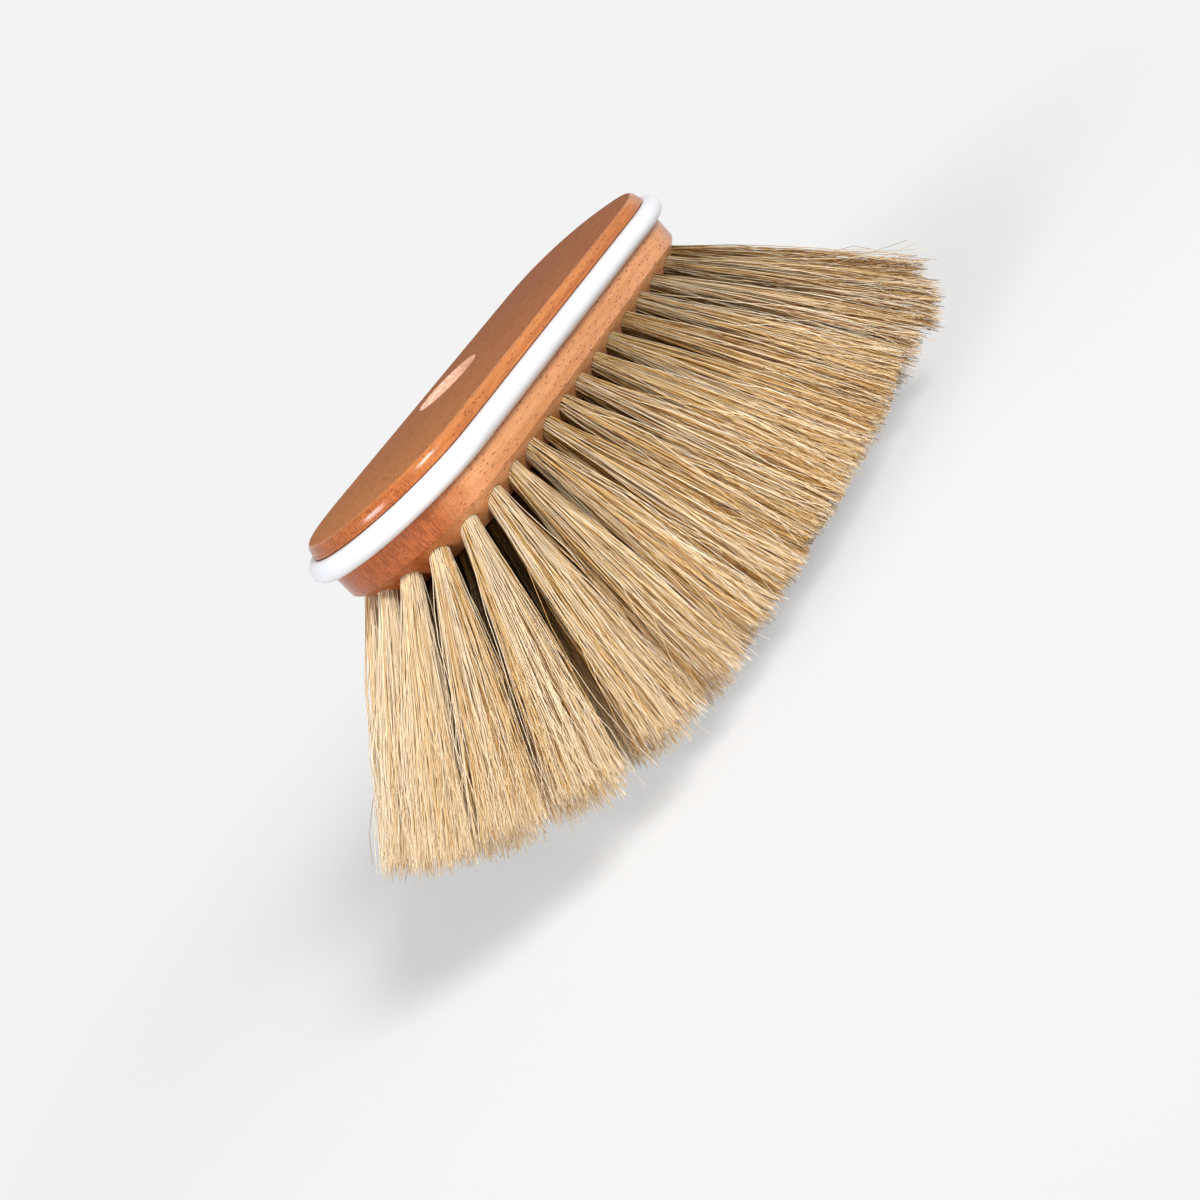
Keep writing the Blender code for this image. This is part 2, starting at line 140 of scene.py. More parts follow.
def add_node(
    tree: Tree,
    kind: str,
    inputs: Inputs = (),
    out: str | int | None = 0,
    stops: Sequence[tuple[float, str]] = (),
    **settings: Any,
) -> Output | Outputs:
    """Add a node with its settings, its values and its links.

    Args:
        tree: The tree that the node goes into.
        kind: Blender's name for the kind of node.
        inputs: What feeds it.
        out: The output that is wanted, or None for all of them.
        stops: Places and hex colours along a colour ramp, in rising order.
        **settings: The node's own properties.

    Returns:
        The wanted output, or all.
    """
    node = tree.nodes.new(kind)
    for name, value in settings.items():
        setattr(node, name, value)
    feed(node, inputs)
    if stops:
        elements = node.color_ramp.elements
        while len(elements) < len(stops):
            elements.new(1.0)
        for element, (place, colour) in zip(elements, stops):
            element.position = place
            element.color = linear(colour)
    return node.outputs if out is None else node.outputs[out]


def new_material(name: str) -> tuple[Material, Tree, bpy.types.Node]:
    """Make an empty node material.

    Args:
        name: The material's name.

    Returns:
        The material, its tree and its Principled shader.
    """
    material = bpy.data.materials.new(name)
    material.use_nodes = True
    return material, material.node_tree, material.node_tree.nodes["Principled BSDF"]


def add_object(name: str, shape: bmesh.types.BMesh, *finishes: Material) -> Object:
    """Put a bmesh into a new object at the origin, with its faces pointing out.

    Args:
        name: The object's name.
        shape: The closed mesh, which is freed.
        *finishes: The materials for its slots.

    Returns:
        The new object.
    """
    bmesh.ops.recalc_face_normals(shape, faces=shape.faces[:])
    mesh = bpy.data.meshes.new(name)
    shape.to_mesh(mesh)
    shape.free()
    for finish in finishes:
        mesh.materials.append(finish)
    thing = bpy.data.objects.new(name, mesh)
    bpy.context.scene.collection.objects.link(thing)
    return thing


def add_drill(
    name: str, runs: Iterable[tuple[Vector, Vector]], radius: float, sides: int, finish: Material
) -> Object:
    """Make a drill of closed cylinders, each between two points.

    Args:
        name: The drill's name.
        runs: The two ends of each cylinder.
        radius: Their radius.
        sides: How many faces go round each.
        finish: What the drilled wood looks like.

    Returns:
        The cylinders, in one object.
    """
    shape = bmesh.new()
    for start, end in runs:
        run = end - start
        turn = run.to_track_quat("Z", "Y").to_matrix().to_4x4()
        middle = Matrix.Translation((start + end) / 2)
        bmesh.ops.create_cone(
            shape, cap_ends=True, segments=sides, radius1=radius, radius2=radius, depth=run.length,
            matrix=middle @ turn,
        )
    return add_object(name, shape, finish)


def carve(target: Object, tool: Object, cut: Cut = Cut.AWAY) -> None:
    """Combine a closed piece with a tool that brings its own finish along, and remove the tool.

    Args:
        target: The piece that is changed.
        tool: The closed mesh that is taken away or joined on.
        cut: Which of the two is done.
    """
    modifier = target.modifiers.new(tool.name, "BOOLEAN")
    modifier.operation = cut.value
    modifier.solver = "EXACT"
    modifier.material_mode = "TRANSFER"
    modifier.object = tool
    bake(target)
    bpy.data.objects.remove(tool, do_unlink=True)


def bake(thing: Object) -> None:
    """Replace an object's mesh by what its modifiers make of it, and remove them.

    Args:
        thing: The object.
    """
    graph = bpy.context.evaluated_depsgraph_get()
    made = bpy.data.meshes.new_from_object(
        thing.evaluated_get(graph), preserve_all_data_layers=True, depsgraph=graph
    )
    thing.modifiers.clear()
    before = thing.data
    thing.data = made
    made.name = thing.name
    bpy.data.meshes.remove(before)


def smooth(thing: Object, angle: float = math.radians(32)) -> None:
    """Shade a piece smooth, but keep the edges that turn by more than this angle."""
    thing.data.shade_smooth()
    thing.data.set_sharp_from_angle(angle=angle)


def settle(piece: Object, slot: str, *nodes: str) -> None:
    """Hand a finished piece to the frame, in place of its nodes.

    Args:
        piece: The finished piece.
        slot: The record's material slot; not used.
        *nodes: The frame's nodes that the piece stands for.
    """
    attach(piece, "root")
    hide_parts(*nodes)
    LOG.info("%s: %d faces", piece.name, len(piece.data.polygons))


def dress(nodes: dict[str, Object], names: Iterable[str], finish: Material) -> None:
    """Give some of the frame's own nodes a finish.

    Args:
        nodes: The frame's nodes.
        names: The nodes that get the finish.
        finish: The finish.
    """
    for name in names:
        nodes[name].data.materials.clear()
        nodes[name].data.materials.append(finish)
        LOG.info("%s: kept from the frame", name)


# The measures of the block


@dataclass(frozen=True)
class Block:
    """The oval block's sizes and the places that they give."""

    length: float = 210 * MM
    width: float = 76 * MM
    underside: float = 97 * MM
    chamfer: float = 10 * MM
    board_wall: float = 13.3 * MM
    cover_edge: float = 8.7 * MM
    crown: float = 2.6 * MM
    board_step: float = 0.5 * MM
    fit_gap: float = 0.3 * MM
    end_steps: int = 64

    @property
    def half_width(self) -> float:
        """Half the width, which is the radius of the round ends."""
        return self.width / 2

    @property
    def half_straight(self) -> float:
        """Half the straight length between the round ends."""
        return (self.length - self.width) / 2

    @property
    def wall_foot(self) -> float:
        """Height where the wall meets the chamfer."""
        return self.underside + self.chamfer

    @property
    def seam(self) -> float:
        """Height of the seam between the boards."""
        return self.wall_foot + self.board_wall

    @property
    def back_edge(self) -> float:
        """Height of the back at its edge."""
        return self.seam + self.cover_edge

    @property
    def back(self) -> float:
        """Height of the back at its middle."""
        return self.back_edge + self.crown

    def perimeter(self, inset: float) -> float:
        """Length round the oval at this inset."""
        return 4 * self.half_straight + 2 * math.pi * (self.half_width - inset)

    def spot(self, inset: float, along: float) -> Point2:
        """Find a place round the oval.

        Args:
            inset: How far inside the wall the way round runs.
            along: Distance from the middle of the front side.

        Returns:
            The x of the place's centre and its angle round that centre.
        """
        radius = self.half_width - inset
        arc = math.pi * radius
        along %= self.perimeter(inset)
        if along <= self.half_straight:
            return along, -math.pi / 2
        along -= self.half_straight
        if along <= arc:
            return self.half_straight, along / radius - math.pi / 2
        along -= arc
        if along <= 2 * self.half_straight:
            return self.half_straight - along, math.pi / 2
        along -= 2 * self.half_straight
        if along <= arc:
            return -self.half_straight, along / radius + math.pi / 2
        return along - arc - self.half_straight, -math.pi / 2

    def place(self, where: Point2, inset: float, height: float) -> Vector:
        """Give the point at an inset and height, straight out from a spot.

        Args:
            where: A spot round the oval.
            inset: How far inside the wall the point is.
            height: Its height.

        Returns:
            The point.
        """
        centre, angle = where
        radius = self.half_width - inset
        return Vector((centre + radius * math.cos(angle), radius * math.sin(angle), height))

    def loft(self, profile: Sequence[Point2], closed: bool = False) -> bmesh.types.BMesh:
        """Carry a profile round the whole oval.

        Args:
            profile: Insets and heights.
            closed: Whether the profile's last point joins its first; otherwise both ends get a face.

        Returns:
            The closed mesh.
        """
        arc = math.pi * self.half_width
        starts = (self.half_straight, 3 * self.half_straight + arc)
        steps = range(self.end_steps + 1)
        spots = [self.spot(0, start + arc * step / self.end_steps) for start in starts for step in steps]
        shape = bmesh.new()
        rings = [[shape.verts.new(self.place(where, *point)) for where in spots] for point in profile]
        following = rings[1:] + rings[:1] if closed else rings[1:]
        for ring, after in zip(rings, following):
            for index in range(len(ring)):
                turn = (index + 1) % len(ring)
                shape.faces.new((ring[index], ring[turn], after[turn], after[index]))
        if not closed:
            shape.faces.new(rings[0])
            shape.faces.new(rings[-1])
        return shape


@dataclass(frozen=True)
class Socket:
    """The slanted handle socket, which leans towards -X as it rises."""

    block: Block
    radius: float = 12 * MM
    depth: float = 24 * MM
    angle: float = math.radians(36)
    mouth_x: float = -19.5 * MM
    land: float = 1.5 * MM
    margin: float = 2 * MM
    sides: int = 96

    @property
    def axis(self) -> Vector:
        """The way out of the socket."""
        return Vector((-math.sin(self.angle), 0, math.cos(self.angle)))

    @property
    def mouth(self) -> Vector:
        """The middle of the mouth."""
        return Vector((self.mouth_x, 0, self.block.back))

    @property
    def floor(self) -> Vector:
        """The middle of the flat floor."""
        return self.mouth - self.axis * self.depth

    def drill(self, finish: Material) -> Object:
        """Make the drill that cuts the socket, which ends a diameter outside its mouth.

        Args:
            finish: What the drilled wood looks like.

        Returns:
            The drill, as a closed object.
        """
        run = (self.floor, self.mouth + self.axis * 2 * self.radius)
        return add_drill("socket_drill", [run], self.radius, self.sides, finish)

    def land_tool(self, ceiling: float, finish: Material) -> Object:
        """Make the ring of wood left round the socket where the cover is hollowed.

        Args:
            ceiling: Height of the hollow's ceiling.
            finish: The wood.

        Returns:
            The sheared disc, as a closed object.
        """
        low = self.block.seam + self.block.fit_gap / 2
        high = ceiling + self.block.fit_gap
        radius = self.radius + self.land
        shape = bmesh.new()
        bmesh.ops.create_cone(
            shape, cap_ends=True, segments=self.sides, radius1=radius, radius2=radius, depth=high - low
        )
        shear = Matrix.Identity(4)
        shear[0][0] = 1 / math.cos(self.angle)
        shear[0][2] = -math.tan(self.angle)
        middle = (low + high) / 2
        centre = self.mouth_x + (self.block.back - middle) * math.tan(self.angle)
        shape.transform(Matrix.Translation((centre, 0, middle)) @ shear)
        return add_object("socket_land", shape, finish)

    def keep_out(self) -> Point2:
        """Say where along X the socket leaves no room for tufts.

        Returns:
            The lowest and the highest x of that room.
        """
        seam_x = self.mouth_x + (self.block.back - self.block.seam) * math.tan(self.angle)
        floor_x = self.floor.x + self.radius * math.cos(self.angle)
        return seam_x - self.radius / math.cos(self.angle) - self.margin, floor_x + self.margin


# Finishes


@dataclass(frozen=True)
class LacqueredBeech:
    """Steamed beech, sawn, sanded and lacquered: warm orange with short dark ray flecks under a sheen."""

    name: str = "beech_steamed_sanded_lacquered"
    deep: str = "#D68C56"
    middle: str = "#E19C6A"
    body: str = "#E49E6A"
    fleck: str = "#8A3E1E"
    # Painted highlight: the glints are small pale cells painted into the colour for the sheen
    glint: str = "#F3BE90"
    # End tone on faces turned along X: partly the darker end grain, partly painted shade for the shaded end
    end: str = "#A8582B"
    # Painted shade: the back is painted a darker brown than the wood, for shade on the top face, and darker
    # still towards +X
    painted_back_shade_near: str = "#B8794E"
    painted_back_shade_far: str = "#9F6749"
    back_edge: float = 129 * MM
    back_blend: float = 0.4 * MM
    painted_back_shade_share: float = 0.9
    painted_back_shade_drift: Span = (-100 * MM, 40 * MM, 0.0, 1.0)
    # A band's dark wood pales slowly, and the next year's wood starts at a sharp edge
    band_places: Point3 = (0.34, 0.5, 0.5)
    band_cell: Point3 = (90 * MM, 4 * MM, 4 * MM)
    # Real fibres are a tenth of this width; these are as coarse as they need to be to show
    fibre_cell: Point3 = (7 * MM, 0.35 * MM, 0.35 * MM)
    fibre_tones: Span = (0.35, 0.65, 0.84, 1.06)
    fibre_strength: float = 0.3
    fibre_depth: float = 0.05 * MM
    end_facing: Span = (0.25, 0.7, 0.0, 1.0)
    end_cell: Point3 = (0.5 * MM, 0.5 * MM, 5 * MM)
    end_tones: Span = (0.4, 0.6, 0.72, 1.1)
    fleck_cell: Point3 = (3.6 * MM, 4 * MM, 0.85 * MM)
    fleck_edge: Span = (0.15, 0.27, 1.0, 0.0)
    fleck_share: Span = (0.25, 0.5, 0.0, 0.85)
    glint_cell: Point3 = (4 * MM, 0.7 * MM, 0.7 * MM)
    glint_edge: Span = (0.15, 0.35, 1.0, 0.0)
    glint_share: Span = (0.4, 0.9, 0.0, 0.35)
    noise_details: Point3 = (3.0, 2.0, 1.0)
    roughness: float = 0.35
    back_roughness: float = 0.7
    # Low, because the gloss is the coat's
    ior: float = 1.12
    rim_coat: float = 0.7
    coat_roughness: float = 0.2

    def build(self) -> Material:
        """Build the material.

        Returns:
            Growth bands, fibres, dark ray flecks and pale glints as painted highlights, all along X, under
            a thin lacquer; painted shade darkens the back and, in part, the end faces.
        """
        material, tree, shader = new_material(self.name)
        spot = add_node(tree, COORDS, out="Object")
        bands_at, fibres_at, ends_at, flecks_at, glints_at = [
            add_node(tree, VECTOR, (spot, cell), operation="DIVIDE")
            for cell in (self.band_cell, self.fibre_cell, self.end_cell, self.fleck_cell, self.glint_cell)
        ]
        bands, fibres, pores = [
            add_node(tree, NOISE, {"Vector": where, "Scale": 1.0, "Detail": detail})
            for where, detail in zip((bands_at, fibres_at, ends_at), self.noise_details)
        ]
        normal = add_node(tree, "ShaderNodeNewGeometry", out="Normal")
        endwise = add_node(tree, MATH, (add_node(tree, SPLIT, (normal,)),), operation="ABSOLUTE")
        x, _, z = add_node(tree, SPLIT, (spot,), None)
        rim = (self.back_edge - self.back_blend, self.back_edge)
        back, end, drift, streaks, lines, polish, dull = [
            add_node(tree, RANGE, (value, *span))
            for value, span in (
                (z, (*rim, 0.0, self.painted_back_shade_share)), (endwise, self.end_facing), (x, self.painted_back_shade_drift),
                (fibres, self.fibre_tones), (pores, self.end_tones), (z, (*rim, self.rim_coat, 0.0)),
                (z, (*rim, self.roughness, self.back_roughness)),
            )
        ]
        stops = tuple(zip(self.band_places, (self.deep, self.middle, self.body)))
        colour = add_node(tree, RAMP, (bands,), stops=stops)
        # Painted shade on the back: a darker brown over the crown, darker towards +X
        back_shade_tones = {0: drift, 6: linear(self.painted_back_shade_near), 7: linear(self.painted_back_shade_far)}
        flat = add_node(tree, MIX, back_shade_tones, 2, data_type="RGBA")
        # End faces: partly the darker end grain, partly painted shade
        cut = add_node(tree, VECTOR, {0: linear(self.end)[:3], "Scale": lines}, operation="SCALE")
        for share, tone in ((end, cut), (back, flat)):
            colour = add_node(tree, MIX, {0: share, 6: colour, 7: tone}, 2, data_type="RGBA")
        colour = add_node(tree, VECTOR, {0: colour, "Scale": streaks}, operation="SCALE")
        # Dark ray flecks, then pale glints that are painted highlights
        for where, edge, few, tone in (
            (flecks_at, self.fleck_edge, self.fleck_share, self.fleck),
            (glints_at, self.glint_edge, self.glint_share, self.glint),
        ):
            cells = add_node(tree, "ShaderNodeTexVoronoi", {"Vector": where, "Scale": 1.0}, None)
            near = add_node(tree, RANGE, (cells["Distance"], *edge))
            some = add_node(tree, RANGE, (cells["Color"], *few))
            share = add_node(tree, MATH, (near, some), operation="MULTIPLY")
            colour = add_node(tree, MIX, {0: share, 6: colour, 7: linear(tone)}, 2, data_type="RGBA")
        grain = {"Height": fibres, "Strength": self.fibre_strength, "Distance": self.fibre_depth}
        feed(shader, {
            "Base Color": colour, "Normal": add_node(tree, BUMP, grain), "Roughness": dull, "IOR": self.ior,
            "Coat Weight": polish, "Coat Roughness": self.coat_roughness,
        })
        return material


@dataclass(frozen=True)
class Mottled:
    """A finish whose two tones drift into each other over a noise of one real size."""

    name: str
    deep: str
    pale: str
    cell: Point3
    detail: float
    places: Point2
    roughness: float

    def start(self) -> tuple[Material, Tree, bpy.types.Node, Output, Output]:
        """Start the material with its tones and its roughness.

        Returns:
            The material, its tree, its shader, the Object coordinates and the noise.
        """
        material, tree, shader = new_material(self.name)
        spot = add_node(tree, COORDS, out="Object")
        grid = add_node(tree, VECTOR, (spot, self.cell), operation="DIVIDE")
        cloud = add_node(tree, NOISE, {"Vector": grid, "Scale": 1.0, "Detail": self.detail})
        tone = add_node(tree, RAMP, (cloud,), stops=tuple(zip(self.places, (self.deep, self.pale))))
        feed(shader, {"Base Color": tone, "Roughness": self.roughness})
        return material, tree, shader, spot, cloud


@dataclass(frozen=True)
class DrilledBeech(Mottled):
    """Raw beech inside a drilled hole: pale, dull and ringed by the drill's turns."""

    name: str = "beech_drilled_raw"
    deep: str = "#E2AF92"
    pale: str = "#FFDCC4"
    cell: Point3 = (5.56 * MM, 0.714 * MM, 0.714 * MM)
    detail: float = 3.0
    places: Point2 = (0.3, 0.65)
    roughness: float = 0.8
    ring_pitch: float = 0.8 * MM
    ring_wobble: float = 1.0
    ring_strength: float = 0.3
    ring_depth: float = 0.08 * MM

    def build(self) -> Material:
        """Build the material.

        Returns:
            Fibres along X and the drill's fine rings, with no coat.
        """
        material, tree, shader, spot, _ = self.start()
        turns = {"Vector": spot, "Scale": WAVE_PERIOD / self.ring_pitch, "Distortion": self.ring_wobble}
        rings = add_node(tree, "ShaderNodeTexWave", turns, "Fac", bands_direction="Z")
        marks = {"Height": rings, "Strength": self.ring_strength, "Distance": self.ring_depth}
        feed(shader, {"Normal": add_node(tree, BUMP, marks)})
        return material


@dataclass(frozen=True)
class ExtrudedVinyl(Mottled):
    """White flexible vinyl, extruded: even white with a soft gloss and a very slight ripple."""

    name: str = "vinyl_white_extruded"
    deep: str = "#E6E8EC"
    pale: str = "#EEEFF2"
    cell: Point3 = (22.2 * MM, 22.2 * MM, 22.2 * MM)
    detail: float = 2.0
    places: Point2 = (0.35, 0.6)
    roughness: float = 0.24
    ior: float = 1.53
    ripple_strength: float = 0.12
    ripple_depth: float = 0.2 * MM

    def build(self) -> Material:
        """Build the material.

        Returns:
            A glossy white with a very slight unevenness in tone and surface.
        """
        material, tree, shader, _, cloud = self.start()
        ripple = {"Height": cloud, "Strength": self.ripple_strength, "Distance": self.ripple_depth}
        feed(shader, {"Normal": add_node(tree, BUMP, ripple), "IOR": self.ior})
        return material


@dataclass(frozen=True)
class DrawnSteel(Mottled):
    """Steel wire, drawn and galvanised: satin grey metal with zinc's slight mottle."""

    name: str = "steel_drawn_galvanised"
    deep: str = "#8F9294"
    pale: str = "#C9CBCC"
    cell: Point3 = (1.11 * MM, 1.11 * MM, 1.11 * MM)
    detail: float = 2.0
    places: Point2 = (0.35, 0.65)
    roughness: float = 0.35

    def build(self) -> Material:
        """Build the material.

        Returns:
            The metal.
        """
        material, _, shader, _, _ = self.start()
        feed(shader, {"Metallic": 1.0})
        return material


@dataclass(frozen=True)
class NaturalBristle:
    """Natural hair bristle, washed and sorted: straw blond, khaki and brown, with a few dark hairs."""

    name: str = "bristle_natural_washed"
    tones: tuple[tuple[float, str], ...] = (
        (0.018, "#2A1F16"), (0.03, "#9A5E26"), (0.18, "#C9964A"), (0.42, "#F4CB88"), (0.78, "#FFECCC"),
    )
    # Painted shade at the roots: a dark brown mixed into each hair near its root, as much as its tuft's
    # "row" gives, where the tufts shade each other
    painted_root_shade: str = "#7E5B22"
    painted_root_shade_reach: Point2 = (0.05, 0.6)
    painted_root_shade_gain: float = 1.05
    painted_root_shade_least: float = 0.12
    roughness: float = 0.28
    ior: float = 1.35

    def build(self) -> Material:
        """Build the material.

        Returns:
            One tone for each hair from its own tint, with painted shade at the roots as much as its tuft's
            "row" says.
        """
        material, tree, shader = new_material(self.name)
        tint, along, row = [
            add_node(tree, "ShaderNodeAttribute", out="Fac", attribute_name=name)
            for name in ("tint", "along", "row")
        ]
        hair = add_node(tree, RAMP, (tint,), stops=self.tones)
        deepest_root_shade = add_node(tree, MATH, (row, self.painted_root_shade_gain, self.painted_root_shade_least), operation="MULTIPLY_ADD")
        share = add_node(tree, RANGE, (along, *self.painted_root_shade_reach, deepest_root_shade, 0.0))
        shaded = add_node(tree, MIX, {0: share, 6: hair, 7: linear(self.painted_root_shade)}, 2, data_type="RGBA")
        feed(shader, {"Base Color": shaded, "Roughness": self.roughness, "IOR": self.ior})
        return material


@dataclass(frozen=True)
class Finishes:
    """Every finish of the brush, built once."""

    cover_beech: Material
    board_beech: Material
    raw_beech: Material
    dowel_beech: Material
    vinyl: Material
    bristle: Material
    steel: Material

    @classmethod
    def build(cls) -> Finishes:
        """Build all finishes.

        Returns:
            The set of materials.
        """
        return cls(
            # The cover's glints are painted highlights and its end tone partly painted shade, as in the
            # board's wood
            cover_beech=LacqueredBeech(
                name="beech_stained_sanded_lacquered", deep="#B96A32", middle="#C97B41", body="#CE8045",
                fleck="#7A3517", glint="#E39C62", end="#AE5F2C", fleck_cell=(3.6 * MM, 1 * MM, 1 * MM),
            ).build(),
            board_beech=LacqueredBeech().build(),
            raw_beech=DrilledBeech().build(),
            dowel_beech=DrilledBeech(name="beech_turned_raw", deep="#B98E62", pale="#D9B48A").build(),
            vinyl=ExtrudedVinyl().build(),
            bristle=NaturalBristle().build(),
            steel=DrawnSteel().build(),
        )


# The pieces of the block


@dataclass(frozen=True)
class Clamp:
    """The seat that both boards make for the bumper strip, and the strip that fills it."""

    block: Block
    bead_radius: float = 3.9 * MM
    bead_proud: float = 0.9 * MM
    tongue_inset: float = 8 * MM
    tongue_thickness: float = 2.5 * MM
    seat_steps: int = 10
    bead_steps: int = 36

    def _arc(self, radius: float, first: float, last: float, steps: int, side: int = 1) -> list[Point2]:
        """Give points on an arc round the bead's middle.

        Args:
            radius: The arc's radius.
            first: The angle that it starts from, with 0 pointing inwards.
            last: The angle that it ends at.
            steps: How many steps it has.
            side: 1 for an arc that rises above the seam first, -1 for one below it.

        Returns:
            Insets and heights.
        """
        angles = [first + (last - first) * step / steps for step in range(steps + 1)]
        return [
            (radius * math.cos(a) - self.bead_proud, self.block.seam + side * radius * math.sin(a))
            for a in angles
        ]

    def seat(self, side: int) -> list[Point2]:
        """Give the bead's seat, from the wall in to the tongue's slot.

        Args:
            side: 1 above the seam, -1 below it.

        Returns:
            Insets and heights.
        """
        wall = 0 if side > 0 else self.block.board_step
        radius = self.bead_radius + self.block.fit_gap
        half = (self.tongue_thickness + self.block.fit_gap) / 2
        first = math.acos((self.bead_proud + wall) / radius)
        return self._arc(radius, first, math.asin(half / radius), self.seat_steps, side)

    def slot(self, side: int) -> list[Point2]:
        """Give the inner end of the tongue's slot.

        Args:
            side: 1 above the seam, -1 below it.

        Returns:
            Insets and heights.
        """
        gap = self.block.fit_gap
        inset = self.tongue_inset + gap
        half = (self.tongue_thickness + gap) / 2
        return [(inset, self.block.seam + side * half), (inset, self.block.seam + side * gap / 2)]

    def build_strip(self, vinyl: Material) -> None:
        """Build the white strip: a bead that stands proud of the wall, and its tongue.

        Args:
            vinyl: The strip's finish.
        """
        half = self.tongue_thickness / 2
        first = math.asin(half / self.bead_radius)
        bead = self._arc(self.bead_radius, first, 2 * math.pi - first, self.bead_steps)
        tongue = [(self.tongue_inset, self.block.seam - half), (self.tongue_inset, self.block.seam + half)]
        strip = add_object("bumper_bead", self.block.loft(bead + tongue, closed=True), vinyl)
        smooth(strip)
        settle(strip, "bumper", "bumper_strip")


@dataclass(frozen=True)
class Dowels:
    """The four dowels between the boards, kept from the frame, and the blind holes that hold them."""

    block: Block
    radius: float = 2.5 * MM
    length: float = 16 * MM
    in_board: float = 9 * MM
    inset: float = 12 * MM
    sides: int = 24
    names: tuple[str, ...] = ("dowel_left", "dowel_right", "dowel_front", "dowel_back")

    def drill(self, finish: Material) -> Object:
        """Make the drill for all four holes.

        Args:
            finish: What the drilled wood looks like.

        Returns:
            Four closed cylinders in one object.
        """
        gap = self.block.fit_gap
        along = self.block.length / 2 - self.inset
        across = self.block.half_width - self.inset
        low = self.block.seam - self.in_board - gap
        high = low + self.length + 2 * gap
        spots = ((-along, 0), (along, 0), (0, -across), (0, across))
        runs = [(Vector((x, y, low)), Vector((x, y, high))) for x, y in spots]
        return add_drill("dowel_drill", runs, self.radius + gap, self.sides, finish)


@dataclass(frozen=True)
class Cover:
    """The crowned cover board: rounded edge, small lip, and a hollow for the drawing wires."""

    block: Block
    clamp: Clamp
    socket: Socket
    dowels: Dowels
    crown_flat_share: float = 0.25
    crown_rings: int = 14
    round_inset: float = 2.8 * MM
    round_drop: float = 3.6 * MM
    round_steps: int = 10
    lip_step: float = 0.4 * MM
    lip_ease: float = 0.1 * MM
    wire_space_inset: float = 13.5 * MM
    wire_space_depth: float = 1.6 * MM

    def crown_height(self, share: float) -> float:
        """Height of the back at this share of the way from its middle to its edge."""
        beyond = max(share - self.crown_flat_share, 0) / (1 - self.crown_flat_share)
        return self.block.back_edge + self.block.crown * (1 - beyond * beyond)

    def profile(self) -> list[Point2]:
        """Give the board's section.

        Returns:
            Insets and heights, from the middle of the back round to the hollow underneath.
        """
        reach = self.block.half_width - self.round_inset
        step = (1 - self.crown_flat_share) / self.crown_rings
        shares = [self.crown_flat_share + step * ring for ring in range(self.crown_rings + 1)]
        crown = [(self.block.half_width - reach * share, self.crown_height(share)) for share in shares]
        quarter = [math.pi / 2 * ring / self.round_steps for ring in range(1, self.round_steps + 1)]
        shoulder = self.block.back_edge - self.round_drop
        width = self.round_inset - self.lip_step
        edge = [
            (self.round_inset - width * math.sin(a), shoulder + self.round_drop * math.cos(a))
            for a in quarter
        ]
        lip = [(self.lip_ease, shoulder), (0, shoulder - self.lip_ease)]
        low = self.block.seam + self.block.fit_gap / 2
        under = [(self.wire_space_inset, low), (self.wire_space_inset, low + self.wire_space_depth)]
        return crown + edge + lip + self.clamp.seat(1) + self.clamp.slot(1) + under

    def build(self, finishes: Finishes) -> None:
        """Build the cover board.

        Args:
            finishes: The brush's materials.
        """
        board = add_object("cover", self.block.loft(self.profile()), finishes.cover_beech)
        ceiling = self.block.seam + self.block.fit_gap / 2 + self.wire_space_depth
        carve(board, self.socket.land_tool(ceiling, finishes.cover_beech), Cut.JOIN)
        carve(board, self.socket.drill(finishes.raw_beech))
        carve(board, self.dowels.drill(finishes.raw_beech))
        smooth(board)
        settle(board, "cover_wood", "cover_board")


@dataclass(frozen=True)
class Tuft:
    """One tuft: where it leaves the board, which way it points, how its hole runs and how long it is."""

    root: Vector
    way: Vector
    rim: Vector
    drilled: Vector
    length: float


@dataclass(frozen=True)
class Ring:
    """One closed ring of tufts, parted into slices that stand for the frame's nodes."""

    name: str
    inset: float
    tufts: int
    slices: int
    shift: float
    length: float
    bristles: int


@dataclass(frozen=True)
class Slice:
    """The tufts that stand for one of the frame's nodes, and how many bristles each has."""

    row: str
    label: str
    tufts: list[Tuft]
    bristles: int


